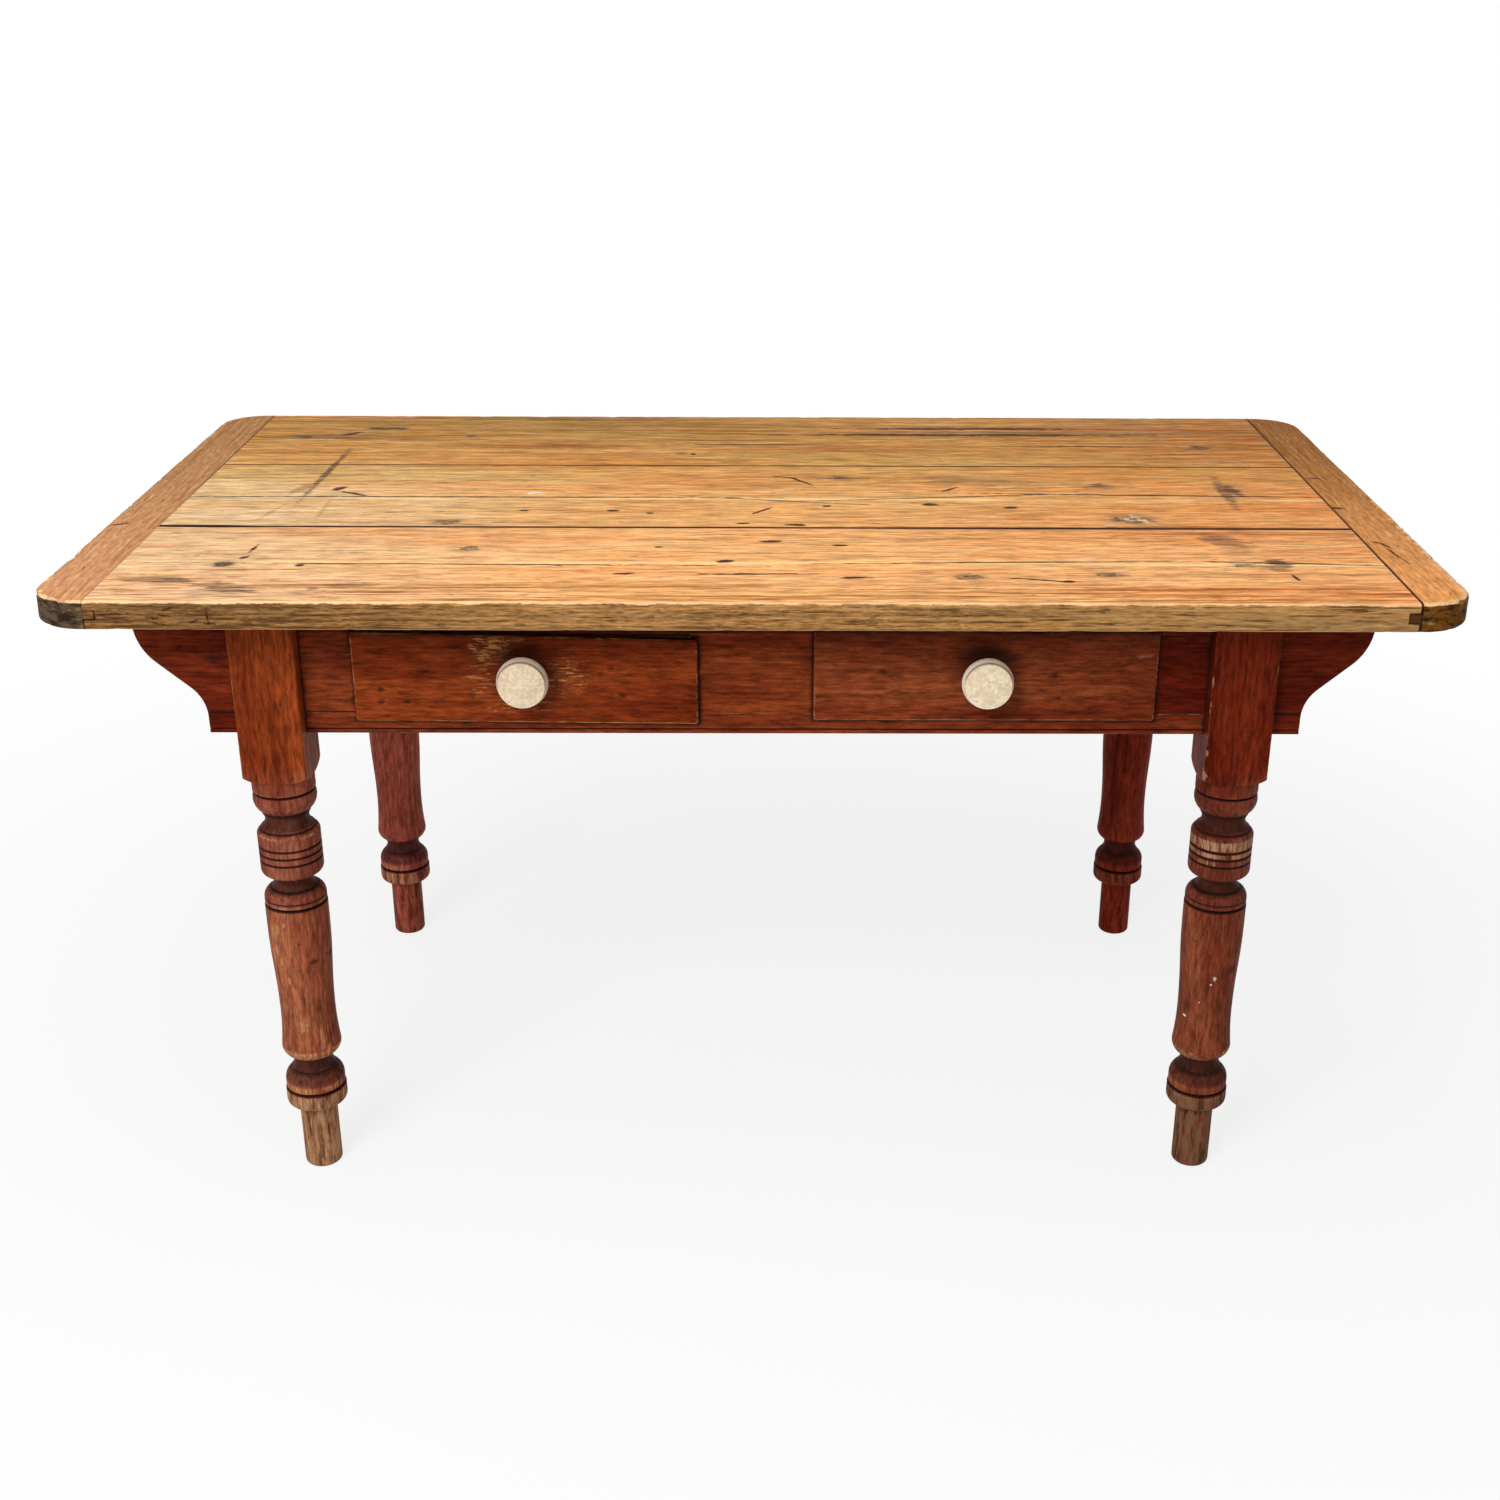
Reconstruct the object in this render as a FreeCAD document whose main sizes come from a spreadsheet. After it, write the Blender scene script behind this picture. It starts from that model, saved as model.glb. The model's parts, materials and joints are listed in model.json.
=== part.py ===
"""Country kitchen table with a plank top, turned legs and two lipped drawers.

Millimetres. The floor is z = 0 under the middle of the table, +Z is up, the drawers face -Y
and +X is to the right of someone standing in front of them.
"""
import FreeCAD, Part
import math
import os
import re
import Sketcher

# Driving dimensions in millimetres, angles in degrees
SIZES = {
    # whole table
    "table_length": 1516,
    "table_width": 854,
    "table_height": 762,
    # plank top with tongued end pieces
    "top_thick": 32,
    "front_board": 280,
    "back_board": 285,
    "end_width": 64,
    "corner_radius": 58,
    "edge_round": 5,
    "seam_ease": 1,
    "tongue_thick": 10,
    "tongue_long": 12,
    "tongue_lift": 11,
    "tongue_gap": 0.3,
    # leg blocks and their place under the top
    "leg_size": 72,
    "leg_arris": 1.5,
    "end_overhang": 184,
    "front_overhang": 83,
    "block_drop": 55,
    "shoulder_rise": 13,
    "shoulder_round": 25,
    # turning from the floor up to the shaft
    "foot_dia": 44.5,
    "foot_height": 87,
    "foot_round": 5,
    "ring_dia": 72,
    "ring_height": 22,
    "ring_round": 8,
    "quirk_width": 4,
    "quirk_depth": 4,
    "band_dia": 70,
    "band_height": 9,
    "bell_height": 14,
    "ankle_dia": 53,
    "ankle_fillet": 2,
    "ankle_height": 18,
    "ankle_cove": 13,
    # shaft, flared at its lower end and drawn in at the waist
    "shaft_base_dia": 54,
    "flare_dia": 70,
    "flare_rise": 13.5,
    "waist_dia": 64,
    "waist_rise": 62,
    "shaft_dia": 72,
    "shaft_straight": 25,
    # turning from the block down to the shaft
    "collar_dia": 71,
    "collar_height": 16.5,
    "collar_quirk": 2.5,
    "torus_top_dia": 69,
    "torus_base_dia": 59,
    "torus_height": 22.5,
    "torus_radius": 20.5,
    "neck_dia": 55,
    "neck_fillet": 4,
    "neck_height": 18,
    "neck_cove": 12,
    "crown_dia": 62,
    "crown_fillet": 2.5,
    "drum_dia": 71.5,
    "drum_height": 57,
    "drum_edge_dia": 64,
    "drum_edge": 5.5,
    "drum_round": 8,
    "groove_start": 19,
    "groove_pitch": 9,
    "groove_width": 3,
    "groove_depth": 1.6,
    "knee_dia": 53,
    "knee_height": 16.5,
    "knee_cove": 10.2,
    "knee_fillet": 1.5,
    "knee_bead_dia": 56,
    "knee_bead": 11,
    "rib_dia": 71,
    "rib_height": 6,
    # aprons and front frame
    "apron_height": 155,
    "apron_thick": 22,
    "apron_setback": 19,
    "bead_radius": 2.5,
    "bead_quirk": 1.5,
    "bottom_rail": 25,
    "top_rail": 37,
    "rail_depth": 45,
    "centre_stile": 143,
    "outer_stile": 66.5,
    # tenons and their mortises
    "tenon_thick": 10,
    "tenon_wall": 11,
    "tenon_gap": 0.5,
    "rail_cheek": 10,
    "rail_shoulder": 6,
    "apron_shoulder": 15,
    "stile_stub": 8,
    "stile_shoulder": 10,
    # scrolled brackets outside the legs
    "bracket_reach": 106,
    "bracket_foot": 34.5,
    "scroll_lift": 20,
    "scroll_angle": 49.6,
    "scroll_cove": 45,
    "scroll_nose": 61,
    "dowel_dia": 9,
    "dowel_long": 34,
    "dowel_low": 45,
    "dowel_high": 115,
    # runners, guides and kickers of the drawers
    "runner_thick": 20,
    "runner_over": 30,
    "runner_tongue": 8,
    "guide_width": 25,
    "guide_height": 22,
    "kicker_width": 30,
    "kicker_over": 20,
    # wood screws
    "screw_dia": 5,
    "screw_head_dia": 10,
    "screw_head": 3,
    "guide_screw_long": 36,
    "guide_screw_inset": 120,
    "top_screw_long": 45,
    "top_screw_sink": 15,
    "top_screw_inset": 65,
    # drawer boxes
    "rear_room": 114,
    "box_height": 88,
    "side_thick": 12,
    "side_gap": 1.5,
    "slide_gap": 0.3,
    "tail_long": 9,
    "tail_wide": 20,
    "tail_narrow": 16,
    "back_thick": 12,
    "back_inset": 10,
    "back_drop": 5,
    "housing": 4,
    "panel_thick": 6,
    "panel_lift": 10,
    "panel_tongue": 5,
    "nail_dia": 2,
    "nail_long": 26,
    "nail_inset": 40,
    # lipped drawer fronts
    "front_thick": 22,
    "lip_thick": 8,
    "lip_gap": 0.3,
    "lip_side": 8,
    "lip_low": 6,
    "lip_high": 6,
    "lip_corner": 4,
    "lip_round": 3.5,
    "sag_low_outer": 1.3,
    "sag_low_inner": 5,
    "sag_high_outer": 2,
    "sag_high_inner": 10.5,
    # ceramic knobs and their bolts
    "knob_rise": 48,
    "knob_base_dia": 30,
    "knob_base": 3,
    "knob_neck_dia": 25,
    "knob_under_dia": 54,
    "knob_under_at": 19,
    "knob_rim_dia": 57,
    "knob_rim_at": 24,
    "knob_face_dia": 51,
    "knob_face_at": 36,
    "knob_dome": 2,
    "bolt_dia": 5,
    "bolt_in_knob": 20,
    "bolt_end": 4,
    "washer_dia": 16,
    "washer_thick": 1.5,
    "nut_across": 9,
    "nut_thick": 4,
}

# Places worked out from the sizes
TOP_UNDER = "(table_height - top_thick)"
FRONT_SEAM = "(front_board - table_width/2)"
BACK_SEAM = "(table_width/2 - back_board)"
LEG_X = "(table_length/2 - end_overhang - leg_size/2)"
LEG_Y = "(table_width/2 - front_overhang - leg_size/2)"
LEG_IN_X = f"({LEG_X} - leg_size/2)"
LEG_IN_Y = f"({LEG_Y} - leg_size/2)"
LEG_OUT_X = f"({LEG_X} + leg_size/2)"
APRON_X = f"({LEG_X} + leg_size/2 - apron_setback)"
APRON_Y = f"({LEG_Y} + leg_size/2 - apron_setback)"
APRON_LOW = f"({TOP_UNDER} - apron_height)"
TENON_LONG = "(leg_size - apron_setback - (apron_thick + tenon_thick)/2 - tenon_wall)"
OPEN_LOW = f"({APRON_LOW} + bottom_rail)"
OPEN_HIGH = f"({TOP_UNDER} - top_rail)"
OPEN_IN = "(centre_stile/2)"
OPEN_OUT = f"({LEG_IN_X} - outer_stile)"
OPEN_HALF = f"(({OPEN_OUT} - {OPEN_IN})/2)"
RAIL_BACK = f"(rail_depth - {APRON_Y})"
FRAME_BACK = f"({APRON_Y} - apron_thick)"
DRAWER_X = f"(({OPEN_OUT} + {OPEN_IN})/2)"
LIP_BACK = f"(-{APRON_Y} - lip_gap)"
FACE_Y = f"({LIP_BACK} - lip_thick)"
FRONT_BACK = f"({FACE_Y} + front_thick)"
BOX_HALF = f"({OPEN_HALF} - side_gap)"
BOX_LOW = f"({OPEN_LOW} + slide_gap)"
BOX_HIGH = f"({BOX_LOW} + box_height)"
BOX_REAR = f"({FRAME_BACK} - rear_room)"
PANEL_LOW = f"({BOX_LOW} + panel_lift)"
KNOB_Z = f"({OPEN_LOW} + knob_rise)"

# Turning of an arc, seen along its path with the solid on the left: out for a bead, in for a cove
BEAD = 1
COVE = -1
SIDES = {"left": -1, "right": 1}
ENDS = {"front": -1, "back": 1}

doc = FreeCAD.newDocument("kitchen_table")
sheet = doc.addObject("Spreadsheet::Sheet", "Sizes")
for row, (alias, size) in enumerate(SIZES.items(), start=1):
    sheet.set(f"A{row}", alias)
    sheet.set(f"B{row}", str(size))
    sheet.setAlias(f"B{row}", alias)
doc.recompute()
nodes = []


def tied(formula):
    """The formula with each size named as a cell of the sheet."""
    return re.sub(r"[a-z]\w*", lambda word: f"Sizes.{word[0]}" if word[0] in SIZES else word[0], formula)


def number(formula):
    """What the formula comes to with the sizes as they stand."""
    return float(sheet.evalExpression(tied(formula)))


def bind(thing, **formulas):
    """Tie properties of a document object to the sheet."""
    for name, formula in formulas.items():
        thing.setExpression(name, tied(formula))


def place(thing, x="0", y="0", z="0", axis=(0, 0, 1), turn=0):
    """Turn an object and tie its place to the sheet."""
    thing.Placement = FreeCAD.Placement(FreeCAD.Vector(), FreeCAD.Rotation(FreeCAD.Vector(*axis), turn))
    for letter, formula in zip("xyz", (x, y, z)):
        thing.setExpression(f"Placement.Base.{letter}", tied(formula))


def span(side, low, high):
    """A range beside the middle of the table, mirrored for side -1."""
    if side > 0:
        return low, high
    return f"-({high})", f"-({low})"


def keep(thing, label):
    """Name a finished piece as one of the table's nodes."""
    thing.Label = label
    nodes.append(thing)
    return thing


def block(label, x, y, z):
    """A squared piece between two planes on each axis."""
    box = doc.addObject("Part::Box", label)
    for name, (low, high) in zip(("Length", "Width", "Height"), (x, y, z)):
        bind(box, **{name: f"({high}) - ({low})"})
    place(box, x[0], y[0], z[0])
    return box


def rod(label, axis, x, y, z, long, dia):
    """A round bar that starts at a point and runs along +X, +Y or +Z."""
    bar = doc.addObject("Part::Cylinder", label)
    bind(bar, Radius=f"({dia})/2", Height=long)
    turns = {"x": ((0, 1, 0), 90), "y": ((1, 0, 0), -90), "z": ((0, 0, 1), 0)}
    place(bar, x, y, z, *turns[axis])
    return bar


def fuse(label, pieces):
    """Several overlapping or touching forms as one solid."""
    whole = doc.addObject("Part::MultiFuse", label)
    whole.Shapes = pieces
    whole.Refine = True
    return whole


def cut(label, base, tools):
    """A piece with the room for other pieces taken out of it."""
    tool = tools[0] if len(tools) == 1 else fuse(f"{label}_room", tools)
    rest = doc.addObject("Part::Cut", label)
    rest.Base = base
    rest.Tool = tool
    return rest


def group(label, pieces):
    """Identical fasteners, kept as separate solids of one node."""
    together = doc.addObject("Part::Compound", label)
    together.Links = pieces
    return keep(together, label)


def arc(start, end, radius, turn):
    """The short arc from start to end, to the left for a bead and to the right for a cove."""
    half = (end - start) * 0.5
    rise = math.sqrt(max(radius ** 2 - half.Length ** 2, 0))
    across = FreeCAD.Vector(-half.y, half.x, 0).normalize()
    centre = start + half + across * (rise * turn)
    first, last = (start, end) if turn > 0 else (end, start)
    angles = [math.atan2(point.y - centre.y, point.x - centre.x) for point in (first, last)]
    circle = Part.Circle(centre, FreeCAD.Vector(0, 0, 1), radius)
    return Part.ArcOfCircle(circle, angles[0], angles[1])


def outline(body, plane, path):
    """A closed sketch on one of the body's own planes.

    Each step of the path is a corner (across, up), or the end of an arc (across, up, radius, turn).
    Every corner and radius is tied to the sheet.
    """
    sketch = body.newObject("Sketcher::SketchObject", f"{body.Name}_{plane}")
    support = next(part for part in body.Origin.OriginFeatures if part.Role == f"{plane}_Plane")
    sketch.AttachmentSupport = [(support, "")]
    sketch.MapMode = "FlatFace"
    corners = [FreeCAD.Vector(number(step[0]), number(step[1]), 0) for step in path]
    rules = []
    formulas = {}
    tips = []
    for index, step in enumerate(path):
        start, end = corners[index - 1], corners[index]
        if len(step) == 2:
            sketch.addGeometry(Part.LineSegment(start, end))
            tips.append((1, 2))
            continue
        sketch.addGeometry(arc(start, end, number(step[2]), step[3]))
        tips.append((1, 2) if step[3] > 0 else (2, 1))
        formulas[len(rules)] = step[2]
        rules.append(Sketcher.Constraint("Radius", index, number(step[2])))
    for index, step in enumerate(path):
        after = (index + 1) % len(path)
        tip = tips[index][1]
        rules.append(Sketcher.Constraint("Coincident", index, tip, after, tips[after][0]))
        for kind, axis, formula in (("DistanceX", -2, step[0]), ("DistanceY", -1, step[1])):
            if formula == "0":
                rules.append(Sketcher.Constraint("PointOnObject", index, tip, axis))
                continue
            formulas[len(rules)] = formula
            rules.append(Sketcher.Constraint(kind, -1, 1, index, tip, number(formula)))
    sketch.addConstraint(rules)
    for index, formula in formulas.items():
        sketch.setExpression(f"Constraints[{index}]", tied(formula))
    return sketch


def pad(body, sketch, long, centred=False, reverse=False):
    """The sketch drawn out square to its plane."""
    solid = body.newObject("PartDesign::Pad", f"{body.Name}_pad")
    solid.Profile = sketch
    solid.Midplane = centred
    solid.Reversed = reverse
    bind(solid, Length=long)
    doc.recompute()
    return solid


def edges(solid, test):
    """Names of the edges whose bounding box passes the test."""
    return [f"Edge{i}" for i, edge in enumerate(solid.Shape.Edges, start=1) if test(edge.BoundBox)]


def at(value, target):
    """Whether two measures agree."""
    return abs(value - target) < 0.01


def ease(body, kind, solid, names, size):
    """A fillet or chamfer along the named edges."""
    feature = body.newObject(f"PartDesign::{kind}", f"{body.Name}_{kind}")
    feature.Base = (solid, names)
    bind(feature, **{"Radius" if kind == "Fillet" else "Size": size})
    doc.recompute()
    return feature


def sweep(rise, run):
    """Radius of an arc that starts along one axis and moves by rise along it and by run across it."""
    return f"(({rise})^2 + ({run})^2)/(2*({run}))"


def screw(label, x, y, z, long, up):
    """A countersunk wood screw with its head at z."""
    flip = 0 if up else 180
    head = doc.addObject("Part::Cone", f"{label}_head")
    bind(head, Radius1="screw_head_dia/2", Radius2="screw_dia/2", Height="screw_head")
    place(head, x, y, z, (1, 0, 0), flip)
    shank = doc.addObject("Part::Cylinder", f"{label}_shank")
    bind(shank, Radius="screw_dia/2", Height=long)
    place(shank, x, y, z, (1, 0, 0), flip)
    return fuse(label, [head, shank])


def top_board(label, front, back, rounded, eased, screws):
    """A plank of the top, grooved in both ends for the tongues of the end pieces."""
    body = doc.addObject("PartDesign::Body", f"{label}_blank")
    half = "(table_length/2 - end_width)"
    floor = f"({half} - tongue_long - tongue_gap)"
    low, high = "tongue_lift", "(tongue_lift + tongue_thick)"
    right = [(half, "0"), (half, low), (floor, low), (floor, high), (half, high), (half, "top_thick")]
    left = [(f"-{across}", up) for across, up in reversed(right)]
    plank = pad(body, outline(body, "XZ", right + left), f"({back}) - ({front})")
    place(body, "0", back, TOP_UNDER)
    top = number("top_thick")
    rims = {"front": number(front) - number(back), "back": 0}
    finish = [("Fillet", "edge_round", rim, (0, top)) for rim in rounded]
    finish += [("Chamfer", "seam_ease", rim, (top,)) for rim in eased]
    for kind, size, rim, levels in finish:
        plank = ease(body, kind, plank, long_edges(plank, number(half), rims[rim], levels), size)
    return keep(cut(label, body, screws), label)


def long_edges(plank, half, y, levels):
    """Names of a plank's full-length edges on one of its sides, at the given levels."""
    return edges(plank, lambda box: at(box.XLength, 2 * half) and at(box.YMin, y) and at(box.YMax, y)
                 and any(at(box.ZMin, level) for level in levels))


def top_end(label, side):
    """A tongued end piece across the boards, with rounded outer corners."""
    body = doc.addObject("PartDesign::Body", label)
    low, high = "tongue_lift", "(tongue_lift + tongue_thick)"
    path = [
        ("end_width", "0"),
        ("end_width", "top_thick"),
        ("0", "top_thick"),
        ("0", high),
        ("-tongue_long", high),
        ("-tongue_long", low),
        ("0", low),
        ("0", "0"),
    ]
    plank = pad(body, outline(body, "XZ", path), "table_width", centred=True)
    outer = number("end_width")
    corners = edges(plank, lambda box: at(box.XMin, outer) and at(box.ZLength, number("top_thick")))
    plank = ease(body, "Fillet", plank, corners, "corner_radius")
    faces = (0, number("top_thick"))
    rim = edges(plank, lambda box: at(box.ZLength, 0) and not at(box.XMax, 0)
                and any(at(box.ZMin, face) for face in faces))
    ease(body, "Fillet", plank, rim, "edge_round")
    place(body, f"{side}*(table_length/2 - end_width)", "0", TOP_UNDER, turn=0 if side > 0 else 180)
    return keep(body, label)


def turned_profile():
    """Half of a leg's turning from the floor up, as corners and arcs (radius, height)."""
    ring = "foot_height"
    quirk = f"({ring} + ring_height)"
    band = f"({quirk} + quirk_width)"
    bell = f"({band} + band_height)"
    ankle = f"({bell} + bell_height)"
    cove = f"({ankle} + ankle_fillet)"
    shaft = f"({cove} + ankle_height)"
    low_block = f"({APRON_LOW} - block_drop)"
    collar = f"({low_block} - collar_height)"
    torus = f"({collar} - collar_quirk)"
    torus_low = f"({torus} - torus_height)"
    neck = f"({torus_low} - neck_fillet)"
    neck_low = f"({neck} - neck_height)"
    drum = f"({neck_low} - crown_fillet)"
    drum_low = f"({drum} - drum_height)"
    knee_low = f"({drum_low} - knee_height)"
    bead = f"({knee_low} - knee_fillet)"
    rib = f"({bead} - knee_bead)"
    rib_low = f"({rib} - rib_height)"
    shaft_top = f"({rib_low} - quirk_width)"
    waist = f"({shaft} + waist_rise)"
    straight = f"({shaft_top} - shaft_straight)"
    swell = sweep(f"({straight} - {waist})/2", "(shaft_dia - waist_dia)/4")
    lower = [
        ("foot_dia/2 - foot_round", "0"),
        ("foot_dia/2", "foot_round", "foot_round", BEAD),
        ("foot_dia/2", ring),
        ("ring_dia/2 - ring_round", ring),
        ("ring_dia/2", f"{ring} + ring_round", "ring_round", BEAD),
        ("ring_dia/2", quirk),
        ("ring_dia/2 - quirk_depth", f"{quirk} + quirk_width/2"),
        ("band_dia/2", band),
        ("band_dia/2", bell),
        ("ankle_dia/2", ankle, sweep("bell_height", "(band_dia - ankle_dia)/2"), BEAD),
        ("ankle_dia/2", cove),
        ("shaft_base_dia/2", shaft, "ankle_cove", COVE),
        ("flare_dia/2", f"{shaft} + flare_rise", sweep("flare_rise", "(flare_dia - shaft_base_dia)/2"), BEAD),
        ("waist_dia/2", waist, sweep("waist_rise - flare_rise", "(flare_dia - waist_dia)/2"), COVE),
        ("(waist_dia + shaft_dia)/4", f"({waist} + {straight})/2", swell, COVE),
        ("shaft_dia/2", straight, swell, BEAD),
        ("shaft_dia/2", shaft_top),
        ("shaft_dia/2 - quirk_depth", f"{shaft_top} + quirk_width/2"),
        ("rib_dia/2", rib_low),
        ("rib_dia/2", rib),
        ("knee_bead_dia/2", bead, sweep("knee_bead", "(rib_dia - knee_bead_dia)/2"), BEAD),
        ("knee_dia/2", bead),
        ("knee_dia/2", knee_low),
        ("knee_dia/2", drum_low, "knee_cove", COVE),
        ("drum_dia/2 - drum_round", drum_low),
        ("drum_dia/2", f"{drum_low} + drum_round", "drum_round", BEAD),
    ]
    grooves = []
    for count in (2, 1, 0):
        middle = f"{drum} - groove_start - {count}*groove_pitch"
        grooves.append(("drum_dia/2", f"{middle} - groove_width/2"))
        grooves.append(("drum_dia/2 - groove_depth", middle))
        grooves.append(("drum_dia/2", f"{middle} + groove_width/2"))
    upper = [
        ("drum_dia/2", f"{drum} - drum_edge"),
        ("drum_edge_dia/2", drum, sweep("drum_edge", "(drum_dia - drum_edge_dia)/2"), BEAD),
        ("crown_dia/2", drum),
        ("crown_dia/2", neck_low),
        ("neck_dia/2", neck, "neck_cove", COVE),
        ("neck_dia/2", torus_low),
        ("torus_base_dia/2", torus_low),
        ("torus_top_dia/2", torus, "torus_radius", BEAD),
        ("collar_dia/2 - quirk_depth", f"{collar} - collar_quirk/2"),
        ("collar_dia/2", collar),
        ("collar_dia/2", low_block),
    ]
    shoulder = [("leg_size*3/4", f"{low_block} + shoulder_rise", "shoulder_round", BEAD)]
    waste = [("leg_size", f"{low_block} + shoulder_rise"), ("leg_size", "0")]
    return lower + grooves + upper + shoulder + waste


def leg(label, side, end, room):
    """A leg turned from a square post, mortised for the frame."""
    body = doc.addObject("PartDesign::Body", f"{label}_turning")
    half = "leg_size/2"
    square = [(half, f"-{half}"), (half, half), (f"-{half}", half), (f"-{half}", f"-{half}")]
    post = pad(body, outline(body, "XY", square), TOP_UNDER)
    uprights = edges(post, lambda box: at(box.ZLength, number(TOP_UNDER)))
    post = ease(body, "Chamfer", post, uprights, "leg_arris")
    turning = body.newObject("PartDesign::Groove", f"{label}_groove")
    turning.Profile = outline(body, "XZ", turned_profile())
    turning.ReferenceAxis = (turning.Profile[0], ["V_Axis"])
    turning.Angle = 360
    doc.recompute()
    if turning.Shape.Volume > 0.9 * post.Shape.Volume:
        raise RuntimeError(f"{label}: the turning took nothing away")
    place(body, f"{side}*{LEG_X}", f"{end}*{LEG_Y}")
    return keep(cut(label, body, room), label)


def beaded_section(side, face, low, high, thick):
    """Section of a rail with a bead and a quirk along the lower edge of its outer face."""
    inner = f"{side}*({face} - {thick})"
    outer = f"{side}*{face}"
    back = f"{side}*({face} - bead_radius)"
    quirk = f"{low} + 2*bead_radius + bead_quirk"
    return [
        (inner, low),
        (back, low),
        (outer, f"{low} + bead_radius", "bead_radius", side * BEAD),
        (back, f"{low} + 2*bead_radius", "bead_radius", side * BEAD),
        (back, quirk),
        (outer, quirk),
        (outer, high),
        (inner, high),
    ]


def beaded_rail(label, plane, section, long):
    """A straight rail drawn out from its section, centred on the table."""
    body = doc.addObject("PartDesign::Body", f"{label}_section")
    pad(body, outline(body, plane, section), long, centred=True)
    return body


def frame_joints():
    """Tenon places of the rails and aprons: x, y and z ranges with a slot for the reach into the leg."""
    cheeks = (f"-{APRON_Y} + rail_cheek", f"{RAIL_BACK} - rail_cheek")
    across = ("(apron_thick + tenon_thick)/2", "(apron_thick - tenon_thick)/2")
    tall = (f"{APRON_LOW} + apron_shoulder", f"{TOP_UNDER} - apron_shoulder")
    return {
        "front_bottom_rail": (cheeks, (f"{APRON_LOW} + rail_shoulder", f"{OPEN_LOW} - rail_shoulder")),
        "front_top_rail": (cheeks, (f"{OPEN_HIGH} + rail_shoulder", f"{TOP_UNDER} - rail_shoulder")),
        "back_apron": (tuple(f"{APRON_Y} - {cheek}" for cheek in across), tall),
        "side_apron": (tuple(f"{APRON_X} - {cheek}" for cheek in across), tall),
    }


def end_tenons(label, name, gap="0"):
    """The two tenons of a rail that runs along X, or with a gap the mortises for them."""
    y, z = frame_joints()[name]
    reach = f"{LEG_IN_X} + {TENON_LONG} + {gap}"
    return {side: block(f"{label}_{side}", span(way, LEG_IN_X, reach), y, z) for side, way in SIDES.items()}


def side_tenons(label, way, gap="0"):
    """The two tenons of a side apron, or with a gap the mortises for them."""
    x, z = frame_joints()["side_apron"]
    reach = f"{LEG_IN_Y} + {TENON_LONG} + {gap}"
    ranges = {end: span(to, LEG_IN_Y, reach) for end, to in ENDS.items()}
    return {end: block(f"{label}_{end}", span(way, *x), y, z) for end, y in ranges.items()}


def stile_places():
    """Ranges along X of the three stiles of the front frame."""
    return {
        "front_stile_left": span(-1, OPEN_OUT, LEG_IN_X),
        "front_stile_centre": (f"-{OPEN_IN}", OPEN_IN),
        "front_stile_right": span(1, OPEN_OUT, LEG_IN_X),
    }


def stile_stubs(label, x, gap="0"):
    """Stub tenons at both ends of a stile, or with a gap the mortises for them."""
    narrow = (f"{x[0]} + stile_shoulder", f"{x[1]} - stile_shoulder")
    y = (f"-{APRON_Y} + (apron_thick - tenon_thick)/2", f"-{APRON_Y} + (apron_thick + tenon_thick)/2")
    low = block(f"{label}_low", narrow, y, (f"{OPEN_LOW} - stile_stub - {gap}", OPEN_LOW))
    high = block(f"{label}_high", narrow, y, (OPEN_HIGH, f"{OPEN_HIGH} + stile_stub + {gap}"))
    return low, high


def slide_places():
    """Inner and outer side of each drawer: its sign and the x ranges of runner, guide and kicker."""
    places = {}
    for side, way in SIDES.items():
        places[f"{side}_outer"] = (
            span(way, f"{OPEN_OUT} - runner_over", f"{OPEN_OUT} + guide_width"),
            span(way, OPEN_OUT, f"{OPEN_OUT} + guide_width"),
            span(way, f"{OPEN_OUT} - kicker_over", f"{OPEN_OUT} - kicker_over + kicker_width"),
        )
        places[f"{side}_inner"] = (
            span(way, f"{OPEN_IN} - guide_width", f"{OPEN_IN} + runner_over"),
            span(way, f"{OPEN_IN} - guide_width", OPEN_IN),
            span(way, f"{OPEN_IN} + kicker_over - kicker_width", f"{OPEN_IN} + kicker_over"),
        )
    return places


def runner_tongues(label, x, gap="0"):
    """Tongues of a runner into the bottom rail and the back apron, or the grooves for them."""
    z = (f"{OPEN_LOW} - runner_thick*2/3", f"{OPEN_LOW} - runner_thick/3")
    front = block(f"{label}_front", x, (f"{RAIL_BACK} - runner_tongue - {gap}", RAIL_BACK), z)
    back = block(f"{label}_back", x, (FRAME_BACK, f"{FRAME_BACK} + runner_tongue + {gap}"), z)
    return front, back


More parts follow.
